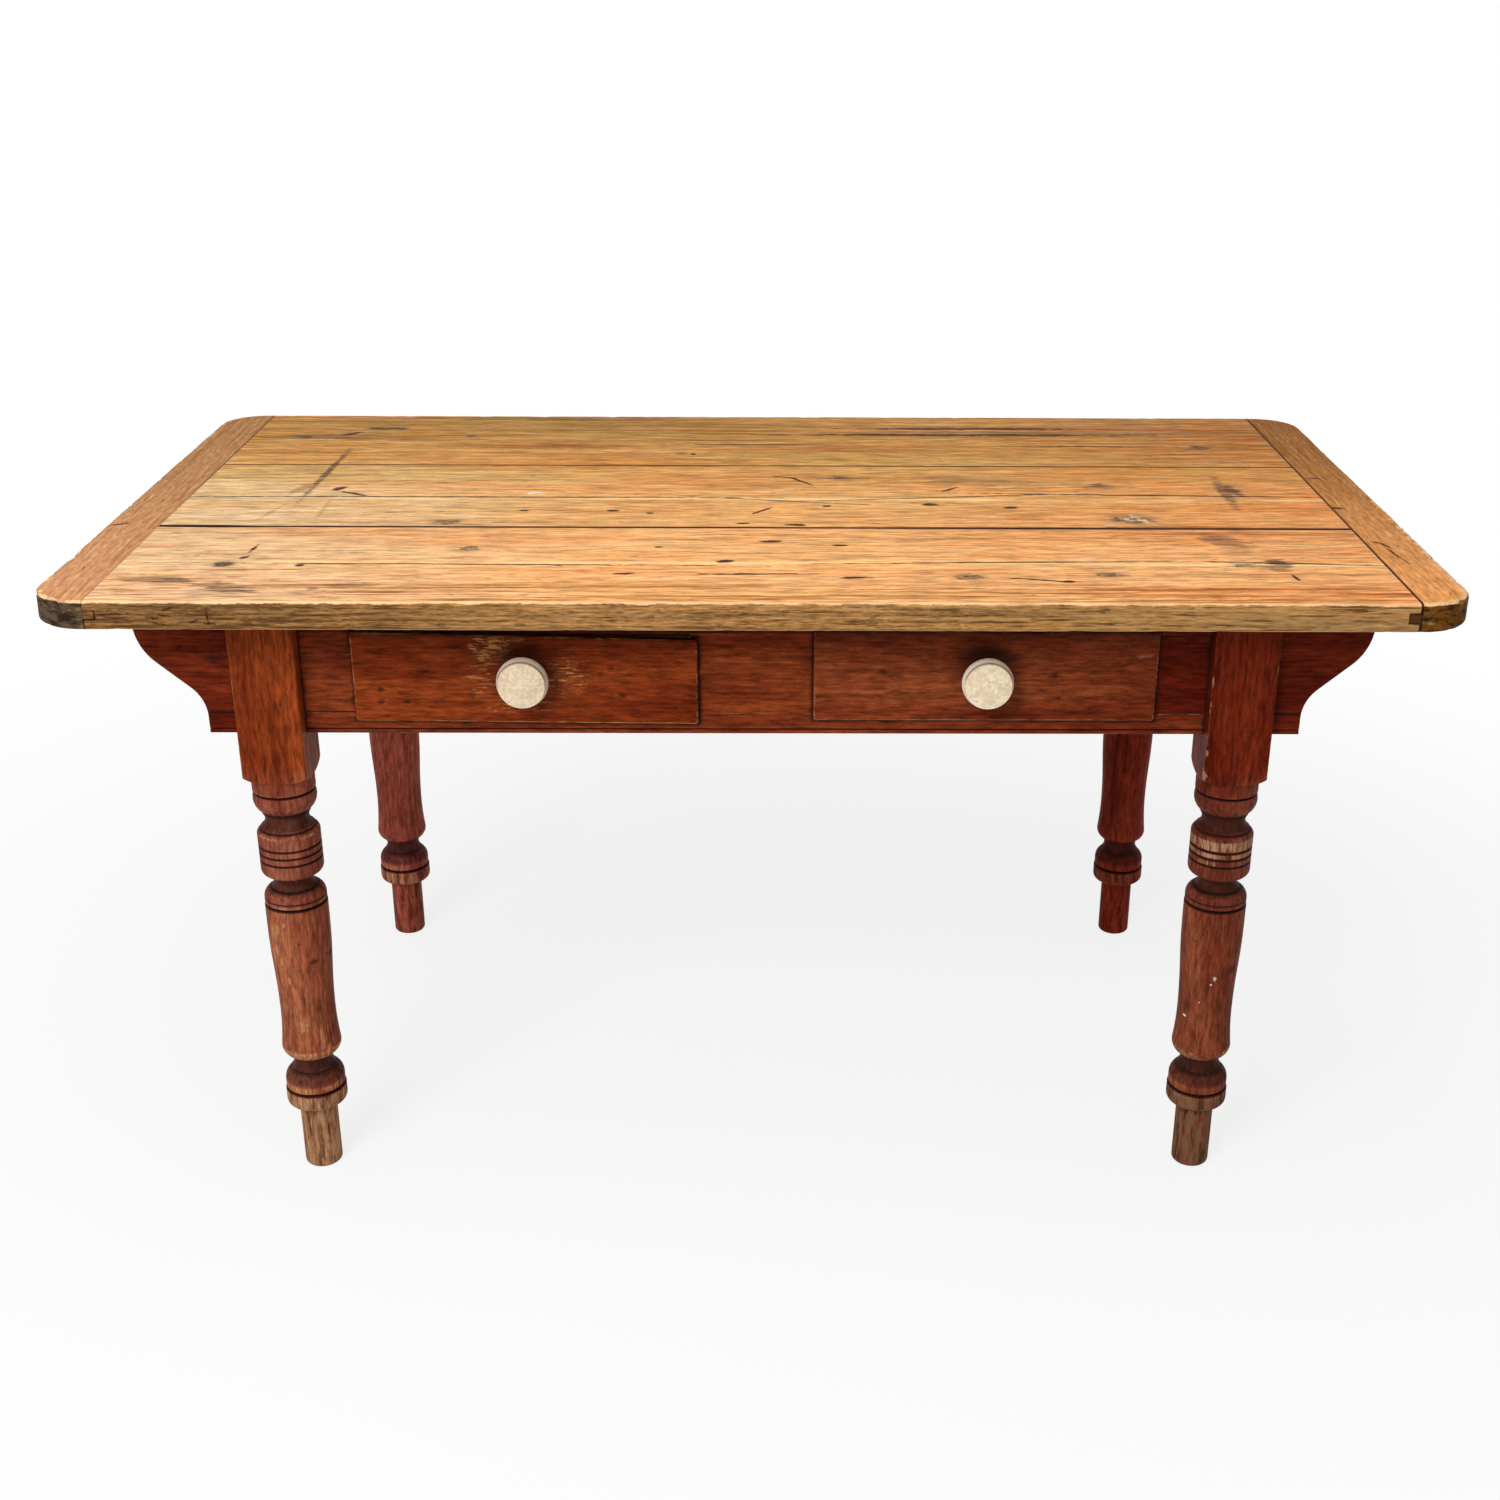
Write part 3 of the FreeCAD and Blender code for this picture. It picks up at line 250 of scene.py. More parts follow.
class Value:
    """A number or vector in a node tree, to reckon with; | gives the larger and & the smaller of two."""

    def __init__(self, net, socket):
        self.net = net
        self.socket = socket

    def reckon(self, operation, *values):
        """One step of mathematics, with numbers or with vectors as this value is one or the other."""
        kind = "ShaderNodeMath" if self.socket.type == "VALUE" else "ShaderNodeVectorMath"
        return self.net.out(kind, {"operation": operation}, *values)

    __add__, __radd__ = operator("ADD")
    __sub__, __rsub__ = operator("SUBTRACT")
    __mul__, __rmul__ = operator("MULTIPLY")
    __truediv__, __rtruediv__ = operator("DIVIDE")
    __or__, __ror__ = operator("MAXIMUM")
    __and__, __rand__ = operator("MINIMUM")

    def __abs__(self):
        return self.reckon("ABSOLUTE", self)

    def math(self, operation, *others):
        return self.reckon(operation, self, *others)

    def length(self):
        node = self.net.add("ShaderNodeVectorMath", {"operation": "LENGTH"}, self)
        return Value(self.net, node.outputs["Value"])

    def scaled(self, factor):
        return self.net.out("ShaderNodeVectorMath", {"operation": "SCALE"}, Vector=self, Scale=factor)

    def split(self):
        """The parts of a vector along X, Y and Z."""
        return [Value(self.net, part) for part in self.net.add("ShaderNodeSeparateXYZ", None, self).outputs]

    @property
    def y(self):
        return self.split()[1]

    @property
    def z(self):
        return self.split()[2]

    def noise(self, scale, detail=2.0, rough=0.5):
        """Cloudy values from 0 to 1, with a scale for each axis in clouds per metre."""
        spread = self * scale
        return self.net.out("ShaderNodeTexNoise", Vector=spread, Scale=1, Detail=detail, Roughness=rough)

    def swing(self, *settings):
        """Cloudy values round zero, with the settings of noise."""
        return self.noise(*settings) - 0.5

    def wander(self, scale, detail=1.0):
        """A vector that drifts round zero, with a scale for each axis in clouds per metre."""
        cloud = self.net.add("ShaderNodeTexNoise", Vector=self * scale, Scale=1, Detail=detail)
        return self.reckon("SUBTRACT", cloud.outputs["Color"], (0.5, 0.5, 0.5))

    def ramp(self, start, end, low=0.0, high=1.0):
        """A smooth step from low at start to high at end."""
        smooth = {"interpolation_type": "SMOOTHSTEP"}
        return self.net.out("ShaderNodeMapRange", smooth, self, start, end, low, high)

    def inside(self, low, high, soft):
        """1 between low and high, with soft ends."""
        return self.ramp(low - soft, low + soft) * self.ramp(high + soft, high - soft)

    def blend(self, first, second):
        """The second colour laid over the first, by the share that this value gives."""
        return self.net.blend(self, first, second)

    def tint(self, colour, tint):
        """A colour multiplied by a tint, by the share that this value gives."""
        return self.net.blend(self, colour, tint, "MULTIPLY")

    def flecked(self, fleck, contrast, least):
        """A colour made lighter and darker by fine noise."""
        return self.scaled(fleck.math("MULTIPLY_ADD", contrast, least))

    def use(self, tree, **inputs):
        """The outputs of a node group that has these coordinates as its place."""
        node = self.net.add("ShaderNodeGroup", {"node_tree": tree}, Place=self, **inputs)
        return {socket.name: Value(self.net, socket) for socket in node.outputs}


def group(name, inputs, outputs, build):
    """A shader node group with named sockets; build(inputs) returns the outputs by name."""
    tree = bpy.data.node_groups.new(name, "ShaderNodeTree")
    kinds = {float: "NodeSocketFloat", tuple: "NodeSocketVector", list: "NodeSocketColor"}
    for label, value in inputs.items():
        socket = tree.interface.new_socket(label, in_out="INPUT", socket_type=kinds[type(value)])
        socket.default_value = (*value, 1) if type(value) is list else value
    for label, kind in outputs.items():
        tree.interface.new_socket(label, in_out="OUTPUT", socket_type=kinds[kind])
    net = Net(tree)
    given = {socket.name: Value(net, socket) for socket in net.add("NodeGroupInput").outputs}
    end = net.add("NodeGroupOutput")
    for label, value in build(given).items():
        net.join(end.inputs[label], value)
    return tree


def build_grain(given):
    """Growth rings round a heart line that sways along the board, with streaks, fibres and broad tones."""
    place = given["Place"]
    slow = place.wander((1.3, 8, 8)).scaled(given["Sway"])
    ripple = place.wander((9, 70, 70), 2).scaled(0.006)
    warped = place + slow + ripple
    across = (warped - given["Heart"]) * (0, 1, 1)
    radius = across.length() + given["Bulge"]
    count = radius / given["Spacing"]
    drift = place.net.out("ShaderNodeTexNoise", {"noise_dimensions": "1D"}, W=count * 0.31, Scale=1)
    count += drift * 3.0
    ring = count.math("FRACT")
    year = place.net.out("ShaderNodeTexWhiteNoise", {"noise_dimensions": "1D"}, W=count.math("FLOOR"))
    strength = year.ramp(0.0, 1.0, 0.2, 1.0)
    late = ring.ramp(0.25, 0.88) * ring.ramp(1.0, 0.9)
    return {
        "Latewood": late * strength,
        "Streak": warped.noise((2.4, 75, 75), 4, 0.62),
        "Fibre": place.noise(given["Fine"], 3, 0.65),
        "Tone": place.noise((1.7, 14, 14), 2),
    }


def build_knot(given):
    """A knot through the board: it pushes the rings aside and shows a dark, ringed core."""
    offset = given["Place"] - given["Centre"]
    x, y, _ = (offset / given["Size"]).split()
    away = (x * x + y * y).math("SQRT") + given["Rough"] * 2.6
    swell = (away * away * -0.2).math("EXPONENT")
    turns = (away * 13.0).math("SINE")
    return {
        "Bulge": swell * given["Size"].y * 1.5,
        "Core": away.ramp(1.0, 0.45) * turns.ramp(-0.6, 0.8, 0.35, 1.0),
        "Eye": away.ramp(1.9, 0.7),
    }


def build_mark(given):
    """A ragged ellipse with its own centre, turn and half-sizes."""
    place = given["Place"]
    local = place.net.out("ShaderNodeMapping", {"vector_type": "TEXTURE"}, Vector=place,
                          Location=given["Centre"], Rotation=given["Turn"], Scale=given["Size"])
    away = local.length() + given["Rough"] * 1.6
    return {"Mask": away.ramp(1.0, 1.0 - given["Soft"])}


def build_edge(given):
    """How near a point is to the edges of a squared piece, broken up into rubbed and unrubbed stretches."""
    place = given["Place"]
    low = place - given["Low"]
    high = given["High"] - place
    x, y, z = (low & high).split()
    second = (x & y) | ((x | y) & z)
    patch = place.noise((13, 13, 13), 3, 0.6).ramp(0.38, 0.66)
    crumb = place.noise((160, 160, 160), 3, 0.6).ramp(0.25, 0.75, 0.2, 1.4)
    reach = given["Reach"] * patch * crumb + 0.0002
    return {"Edge": second.ramp(reach, reach * 0.2)}


def build_contact(given):
    """Grime and painted shade round a squared piece where it meets its neighbour."""
    place = given["Place"]
    middle = (given["Low"] + given["High"]).scaled(0.5)
    half = (given["High"] - given["Low"]).scaled(0.5)
    beyond = abs(place - middle) - half
    away = (beyond | (0, 0, 0)).length()
    ragged = place.noise((60, 60, 60), 3, 0.6).ramp(0.3, 0.7, 0.45, 1.2)
    reach = given["Reach"] * ragged
    return {"Dirt": away.ramp(reach, reach * 0.1)}


def build_stain(given):
    """Red-brown stain on pine: streaks along the grain, dark specks, and bare wood where it is rubbed off."""
    place = given["Place"]
    warm = place.noise((3.6, 15, 15), 4, 0.6).ramp(0.36, 0.66)
    colour = warm.ramp(0, 1, 1, 0).tint(given["Stain"], COOL_STAIN)
    colour = warm.tint(colour, WARM_STAIN)
    colour = (given["Latewood"] * 0.55).tint(colour, LATE_STAIN)
    colour = given["Streak"].ramp(0.5, 0.72, 0, 0.85).tint(colour, STREAK_STAIN)
    colour = given["Fibre"].ramp(0.48, 0.74, 0, 0.75).tint(colour, FIBRE_STAIN)
    colour = given["Fibre"].ramp(0.46, 0.26, 0, 0.55).tint(colour, THIN_STAIN)
    speck = place.noise((110, 330, 330), 2, 0.6).ramp(0.69, 0.75, 0, 0.8)
    colour = speck.blend(colour, GRIME_AND_SHADE)
    blotch = place.noise((7, 11, 11), 4, 0.65).ramp(0.56, 0.8, 0, 0.55)
    colour = blotch.tint(colour, BLOTCH_STAIN)
    colour = colour.flecked(place.noise((45, 230, 230), 3, 0.7), 2.7, -0.34)
    bare = given["Fibre"].ramp(0.36, 0.62, 0, 0.85).blend(given["Bare"], BARE_GREY)
    bare = place.net.blend(0.22, bare, given["Stain"])
    scratch = place.noise((40, 300, 300), 4, 0.7).ramp(0.34, 0.6)
    rubbed = (given["Wear"] * (scratch + 0.3)).ramp(0.25, 0.75)
    colour = (rubbed * 0.9).blend(colour, bare)
    # Darkened by grime and by painted shade, as the piece's mask gives
    colour = given["Dirt"].blend(colour, GRIME_AND_SHADE)
    rough = rubbed * 0.16 + given["Fibre"].ramp(0.3, 0.7, 0.4, 0.58)
    height = given["Fibre"] * -0.5 - rubbed * 0.4
    return {"Colour": colour, "Roughness": rough, "Height": height}


POINT = (0.0, 0.0, 0.0)
# Half-size of a mark along the axis on which its place doesn't matter
FAR = 50.0
GRAIN = group(
    "pine_grain", {"Place": POINT, "Heart": POINT, "Spacing": 0.004, "Sway": 0.03, "Bulge": 0.0,
                   "Fine": (20.0, 300.0, 300.0)},
    {"Latewood": float, "Streak": float, "Fibre": float, "Tone": float}, build_grain)
KNOT = group(
    "knot", {"Place": POINT, "Centre": POINT, "Size": (0.02, 0.01, 0.02), "Rough": 0.0},
    {"Bulge": float, "Core": float, "Eye": float}, build_knot)
MARK = group(
    "mark", {"Place": POINT, "Centre": POINT, "Turn": POINT, "Size": (0.02, 0.003, FAR), "Soft": 0.6,
             "Rough": 0.0},
    {"Mask": float}, build_mark)
EDGE = group(
    "rubbed_edge", {"Place": POINT, "Low": POINT, "High": POINT, "Reach": 0.004}, {"Edge": float}, build_edge)
CONTACT = group(
    "contact_dirt", {"Place": POINT, "Low": POINT, "High": POINT, "Reach": 0.004}, {"Dirt": float},
    build_contact)
STAIN = group(
    "worn_stain",
    {"Place": POINT, "Latewood": 0.0, "Streak": 0.5, "Fibre": 0.5, "Wear": 0.0, "Dirt": 0.0,
     "Stain": list(OXBLOOD), "Bare": list(BARE_YELLOW)},
    {"Colour": list, "Roughness": float, "Height": float}, build_stain)


def new_finish(name, specular=WOOD_SPECULAR):
    """A new material, with its shader and the coordinates of the piece that it is for."""
    material = bpy.data.materials.new(name)
    material.use_nodes = True
    shader = material.node_tree.nodes["Principled BSDF"]
    shader.inputs["Specular IOR Level"].default_value = specular
    net = Net(material.node_tree)
    place = Value(net, net.add("ShaderNodeTexCoord").outputs["Object"])
    return material, shader, place


def turned(place, turn):
    """The coordinates with the grain laid along X."""
    if turn == ALONG_X:
        return place
    return place.net.out("ShaderNodeMapping", Vector=place, Rotation=turn)


def heart_of(node, turn, offset=HEART_OFFSET):
    """A heart line beside the middle of a piece, in its turned coordinates."""
    low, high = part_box(node)
    rotation = Matrix.Rotation(turn[2], 3, "Z") @ Matrix.Rotation(turn[1], 3, "Y")
    return rotation @ ((low + high) / 2 + Vector(offset))


def paint(shader, **inputs):
    """Join values to the inputs of a shader."""
    for name, value in inputs.items():
        Net(shader.id_data).join(shader.inputs[name.replace("_", " ")], value)


def surface(shader, colour, rough, height, depth):
    """Join colour, roughness and relief to the shader; depth is the relief's height in metres."""
    bump = height.net.out("ShaderNodeBump", Height=height, Distance=depth, Strength=1.0)
    paint(shader, Base_Color=colour, Roughness=rough, Normal=bump)


# The tables of marks hold lengths in millimetres: x to the right, y to the back, heights from the floor.
# Knots of the planks: x, y and half-sizes along and across the grain
KNOTS = {
    "top_board_front": [
        (-324, -234, 16, 9), (-582, -295, 14, 9), (229, -336, 17, 11), (382, -327, 18, 10),
        (532, -291, 11, 7),
    ],
    "top_board_middle": [(443, -108, 26, 18), (428, 47, 13, 10), (103, 82, 12, 10), (-362, -126, 16, 12)],
    "top_board_back": [(-623, 294, 16, 10), (592, 249, 14, 13), (-104, 206, 8, 6), (-398, 303, 10, 7)],
}
# Dents, slots and cracks of the planks: x and y from, x and y to, and half-width
SLOTS = {
    "top_board_front": [
        (-568, -276, -560, -263, 3.5), (-564, -252, -561, -223, 2.8), (-503, -300, -491, -300, 6),
        (2, -203, 29, -203, 4.4), (85, -218, 102, -218, 3.5), (-115, -226, -105, -226, 3),
        (-223, -295, -208, -295, 3.5), (-45, -279, -24, -279, 6), (-155, -326, -129, -326, 4.2),
        (-64, -327, 53, -326, 3), (86, -339, 127, -339, 3.8), (265, -337, 348, -354, 3),
        (328, -350, 344, -352, 6), (581, -322, 585, -346, 3), (-580, -291, -40, -296, 2),
        (30, -290, 530, -274, 1.8), (470, -275, 710, -291, 2.2),
    ],
    "top_board_middle": [
        (-526, 14, -513, 32, 6), (-520, 12, -472, -15, 3.5), (-287, -76, -272, -76, 3.6),
        (-182, -75, -165, -75, 4), (-135, -86, -124, -86, 4), (-27, -130, -8, -129, 3),
        (32, -134, 58, -134, 5.8), (77, -53, 89, -53, 3.6), (197, -44, 220, -44, 6), (14, 90, 48, 79, 3),
        (40, 83, 70, 41, 3), (-8, -90, 18, -57, 3), (224, 13, 249, 38, 2.8), (294, -58, 314, -55, 5),
        (-760, -16, 30, -14, 2.6), (-80, -10, 130, -46, 2), (40, -32, 420, 11, 2), (250, 9, 740, -8, 2.8),
    ],
    "top_board_back": [
        (20, 314, 520, 318, 7), (110, 352, 460, 355, 6.4), (-577, 300, -547, 327, 6),
        (-550, 345, -486, 344, 6), (-94, 203, -84, 203, 6), (-130, 255, 100, 262, 2.6),
        (330, 255, 560, 250, 2.6),
    ],
}
# The long burn on the left, which crosses two planks: as the stains and burns below
LEFT_BURN = (-546, 246, -557, -54, 5.2, 0.95)
# Stains and burns of the planks: x and y from, x and y to, half-width and strength
SMUDGES = {
    "top_board_front": [
        (-685, -348, -590, -355, 15, 0.8), (-640, -354, -600, -349, 11, 1),
        (-600, -362, -515, -398, 17, 0.9), (-600, -301, -564, -288, 11, 0.85),
        (-474, -384, -456, -384, 8, 0.7), (-468, -372, -385, -365, 9, 0.6), (505, -150, 562, -246, 23, 0.7),
        (540, -288, 596, -312, 12, 0.75), (564, -266, 590, -297, 14, 1),
    ],
    "top_board_middle": [
        LEFT_BURN, (-577, -10, -553, 55, 10, 0.6), (-568, -42, -589, -128, 3.5, 0.4),
        (-520, -26, -519, -120, 3.5, 0.35), (580, 102, 578, -76, 9, 0.85), (582, 60, 597, -8, 10.5, 1),
        (60, 85, 150, 80, 15, 0.55), (170, 88, 370, 50, 26, 0.4), (416, -108, 474, -108, 20, 0.8),
        (380, 46, 480, 42, 14, 0.5),
    ],
    "top_board_back": [
        LEFT_BURN, (100, 330, 640, 322, 16, 0.45), (-670, 296, -510, 300, 16, 0.55),
        (570, 232, 620, 266, 14, 0.55),
    ],
}
# A fleck of white paint on the middle plank, in two strokes of the same form
PAINT_FLECKS = [
    (-285, -2, -274, 11, 4.2, 0.85), (-277, 11, -264, 2, 3.8, 0.8),
]
# Pale splinters in the largest knot of the middle plank, of the same form
SPLINTERS = [
    (441, -82, 464, -130, 7.5, 0.85), (430, -93, 446, -122, 7, 0.8), (403, -133, 426, -131, 6, 0.6),
]
# Depths in metres of the lines along which a plank is painted pale beside a crack, as a highlight
CRACK_HIGHLIGHT_LINES = {"top_board_front": -0.2870, "top_board_middle": -0.0215}
# Where the seam in front of the middle plank has opened: x and y from, x and y to, and half-width
OPEN_SEAM = (-720, -145, -560, -148, 6)
# Dark saw marks on the front edge: x and height from and to
SAW_MARKS = [
    (-633, 745, -612, 742), (-631, 740.2, -603, 735), (-625, 749.4, -600, 744.4),
    (-615, 751.6, -596, 756.6), (-567, 754, -565, 737), (-588, 737.6, -570, 744.6),
    (-574, 738.8, -554, 737.3), (-690, 747, -640, 748.5),
]


def metres(lengths):
    """Lengths in millimetres as lengths in metres."""
    return [length / 1000 for length in lengths]


def stroke(place, mark, soft, rough):
    """One mark on the top between two points."""
    x0, y0, x1, y1, wide = metres(mark)
    start, end = Vector((x0, y0)), Vector((x1, y1))
    along = end - start
    centre = (*((start + end) / 2), TOP_Z)
    turn = (0, 0, math.atan2(along.y, along.x))
    size = (along.length * 0.57, wide * 1.15, FAR)
    return place.use(MARK, Centre=centre, Turn=turn, Size=size, Soft=soft, Rough=rough)["Mask"]


def strokes(place, marks, soft, rough):
    """The strongest of several marks on the top at each point; a mark may end with its strength."""
    whole = 0.0
    for mark in marks:
        mask = stroke(place, mark[:5], soft, rough)
        for strength in mark[5:]:
            mask *= strength
        whole |= mask
    return whole


def near(value, line, wide):
    """1 on a line across one axis, fading out at the given distance."""
    return abs(value - line).ramp(wide, wide * 0.35)


def plank_knots(place, node, rough):
    """How far a plank's knots push its rings aside, their cores and their pale eyes."""
    bulge, core, eye = 0.0, 0.0, 0.0
    for mark in KNOTS[node]:
        across, deep, long, wide = metres(mark)
        knot = place.use(KNOT, Centre=(across, deep, TOP_Z), Size=(long, wide, wide), Rough=rough)
        bulge += knot["Bulge"]
        core |= knot["Core"]
        eye |= knot["Eye"]
    return bulge, core, eye


def rim_distance(place):
    """Distance to the outline of the whole top, seen from above: 0 on the outline and negative inside it."""
    flat = abs(place * (1, 1, 0))
    inner = (TOP_HIGH.x - CORNER_RADIUS, TOP_HIGH.y - CORNER_RADIUS, 0)
    beyond = flat - inner
    x, y, _ = beyond.split()
    outside = (beyond | (0, 0, 0)).length()
    within = (x | y) & 0.0
    return outside + within - CORNER_RADIUS


def side_mask(place):
    """1 on the sides of the top below its arris, with a ragged upper limit."""
    ragged = place.swing((40, 40, 90), 4, 0.65)
    depth = TOP_Z - 0.0016 - place.z + ragged * 0.006
    return depth.ramp(0.0, 0.0012) * rim_distance(place).ramp(-0.0065, -0.0045)


def edge_wood(place):
    """The greyed, streaked wood of the planks' front and back edges."""
    x, _, z = place.split()
    lines = place.noise((12, 300, 300), 3, 0.68)
    broad = place.noise((2.6, 60, 60), 3, 0.6)
    colour = broad.ramp(0.4, 0.64).blend(EDGE_KHAKI, EDGE_GREY)
    colour = colour.flecked(place.noise((60, 420, 420), 3, 0.7), 3.0, -0.54)
    colour = x.ramp(0.15, 0.7, 0, 0.3).blend(colour, EDGE_PALE)
    colour = lines.ramp(0.46, 0.34, 0, 0.6).blend(colour, EDGE_PALE)
    colour = lines.ramp(0.52, 0.64, 0, 0.85).blend(colour, EDGE_DARK)
    knots = place.noise((9, 70, 70), 4, 0.65).ramp(0.62, 0.76, 0, 0.6)
    colour = (knots | x.ramp(-0.1, -0.7, 0, 0.36)).blend(colour, EDGE_DARK)
    cuts = place.noise((20, 330, 330), 4, 0.72).ramp(0.47, 0.57)
    colour = (cuts * x.ramp(-0.25, -0.5, 0, 0.75)).blend(colour, EDGE_DARK)
    rough = place.swing((300, 300, 300), 2)
    for mark in SAW_MARKS:
        x0, z0, x1, z1 = metres(mark)
        turn = (0, -math.atan2(z1 - z0, x1 - x0), 0)
        size = (math.hypot(x1 - x0, z1 - z0) / 2, FAR, 0.0016)
        centre = ((x0 + x1) / 2, 0, (z0 + z1) / 2)
        cut = place.use(MARK, Centre=centre, Turn=turn, Size=size, Soft=0.7, Rough=rough)
        colour = (cut["Mask"] * 0.85).blend(colour, END_DARK)
    return z.ramp(TOP_UNDER + 0.0026, TOP_UNDER + 0.001, 0, 0.4).blend(colour, ARRIS_PALE)


def plank_edge(place, colour):
    """The planks' edges: a thin arris, rubbed pale and painted as a highlight, greyed wood below it, and the
    end of the right tongue, darkened with grime and painted shade.
    """
    side = side_mask(place)
    rim = rim_distance(place)
    # The pale arris is wear and a painted highlight
    arris = rim.ramp(-0.006, -0.003) * place.noise((22, 22, 22), 3) * 1.5
    colour = (arris & 0.9).blend(colour, ARRIS_PALE)
    colour = side.blend(colour, edge_wood(place))
    # The right tongue's end, darkened as grime and as painted shade of its gap
    low = (END_SEAM - TONGUE_LONG, TOP_LOW.y, TONGUE_LOW)
    high = (END_SEAM + TONGUE_LONG, TOP_HIGH.y, TONGUE_HIGH)
    tongue = place.use(CONTACT, Low=low, High=high, Reach=0.0024)["Dirt"]
    return (tongue * side).blend(colour, END_DARK)


def raw_tone(grain):
    """The broad colour of bare, aged pine."""
    return grain["Tone"].ramp(0.3, 0.7).blend(RAW_DEEP, RAW_PINE)


def underside(place, grain, colour):
    """Bare, aged wood on the underside of the top, within its arrises."""
    wood = raw_tone(grain)
    wood = grain["Fibre"].ramp(0.46, 0.7, 0, 0.8).tint(wood, STREAK_TINT)
    low = place.z.ramp(TOP_UNDER + 0.0045, TOP_UNDER + 0.0035)
    return (low * rim_distance(place).ramp(-0.005, -0.008)).blend(colour, wood)


def plank_seams(place):
    """Grime in the seams round a plank."""
    x, y, _ = place.split()
    front = near(y, FRONT_SEAM, 0.005)
    front |= near(y, FRONT_SEAM, 0.0072) * x.ramp(0.0, 0.25, 0, 0.9)
    back = near(y, BACK_SEAM, 0.0036) * x.ramp(-0.2, 0.3, 0.85, 1.0)
    left = near(x, -END_SEAM, 0.0018) * y.ramp(-0.2, 0.1, 0.15, 0.6)
    opened = stroke(place, OPEN_SEAM, 0.3, 0.0)
    return front | back | left | near(x, END_SEAM, 0.0024) | opened


def plank_grain(place, grain, colour):
    """Lay rings, streaks, fibres and short dark dashes over a plank's colour."""
    y = place.y
    busy = place.noise((1.6, 9, 9), 2).ramp(0.4, 0.66, 0.3, 0.85)
    busy |= y.ramp(-0.31, -0.39, 0, 0.8)
    colour = (grain["Latewood"] * 0.3).tint(colour, LATE_TINT)
    colour = (grain["Streak"].ramp(0.5, 0.72) * busy).tint(colour, STREAK_TINT)
    colour = grain["Streak"].ramp(0.44, 0.26, 0, 0.45).blend(colour, HONEY_PALE)
    colour = (grain["Fibre"].ramp(0.5, 0.72) * busy).tint(colour, STREAK_TINT)
    colour = grain["Fibre"].ramp(0.44, 0.26, 0, 0.35).blend(colour, HONEY_PALE)
    dashes = place.noise((17, 200, 200), 3, 0.6).ramp(0.635, 0.69, 0, 0.9)
    colour = (dashes * busy).blend(colour, PLANK_BROWN)
    wisps = place.noise((5, 40, 40), 5, 0.68).ramp(0.63, 0.78, 0, 0.55)
    colour = wisps.blend(colour, PLANK_BROWN)
    lines = place.noise((3.5, 110, 110), 4, 0.65).ramp(0.46, 0.62)
    colour = (lines * y.ramp(-0.32, -0.39, 0, 1.0)).tint(colour, STREAK_TINT)
    bands = place.noise((2.4, 55, 55), 4, 0.66).ramp(0.46, 0.62)
    colour = (bands * y.ramp(0.08, 0.26, 0, 0.75)).tint(colour, STREAK_TINT)
    return colour.flecked(place.noise((26, 175, 175), 4, 0.72), 2.4, -0.18)


def plank_tone(place, tone):
    """The broad colour of the top: paler towards the front, partly from wear where people sit and partly as
    painted light, redder to the right.
    """
    x, y, _ = place.split()
    # Lighter in front, darker behind: wear and painted light
    share = y + (tone - 0.5) * 0.3
    colour = share.ramp(0.34, 0.02).blend(HONEY_BACK, HONEY_MIDDLE)
    colour = share.ramp(-0.02, -0.3).blend(colour, HONEY_FRONT)
    right = x.ramp(0.1, 0.8) * y.ramp(-0.3, -0.08, 0.3, 1.0)
    colour = right.tint(colour, RED_TINT)
    left = x.ramp(-0.15, -0.6) * y.ramp(0.2, -0.05)
    colour = left.tint(colour, PALE_TINT)
    grey = x.ramp(-0.1, -0.5) * y.inside(-0.13, 0.12, 0.04)
    colour = grey.tint(colour, GREY_TINT)
    blush = place.noise((2.6, 15, 15), 3, 0.6).ramp(0.48, 0.66, 0, 0.9)
    colour = blush.tint(colour, RED_TINT)
    dull = tone.ramp(0.56, 0.38) * y.ramp(-0.1, 0.2, 0.25, 0.9)
    return dull.tint(colour, KHAKI_TINT)


def crack_highlight_line(place, line):
    """A broken pale line along a plank: a painted highlight beside a crack."""
    drift = place.swing((3, 0, 0)) * 0.016
    stretch = place.noise((5, 30, 30), 3, 0.6).ramp(0.4, 0.56, 0, 0.75)
    return near(place.y + drift, line, 0.0075) * stretch


def small_pits(place):
    """Small pits, stretched along the grain."""
    return place.noise((40, 260, 260), 1, 0.4).ramp(0.755, 0.795, 0, 0.9)


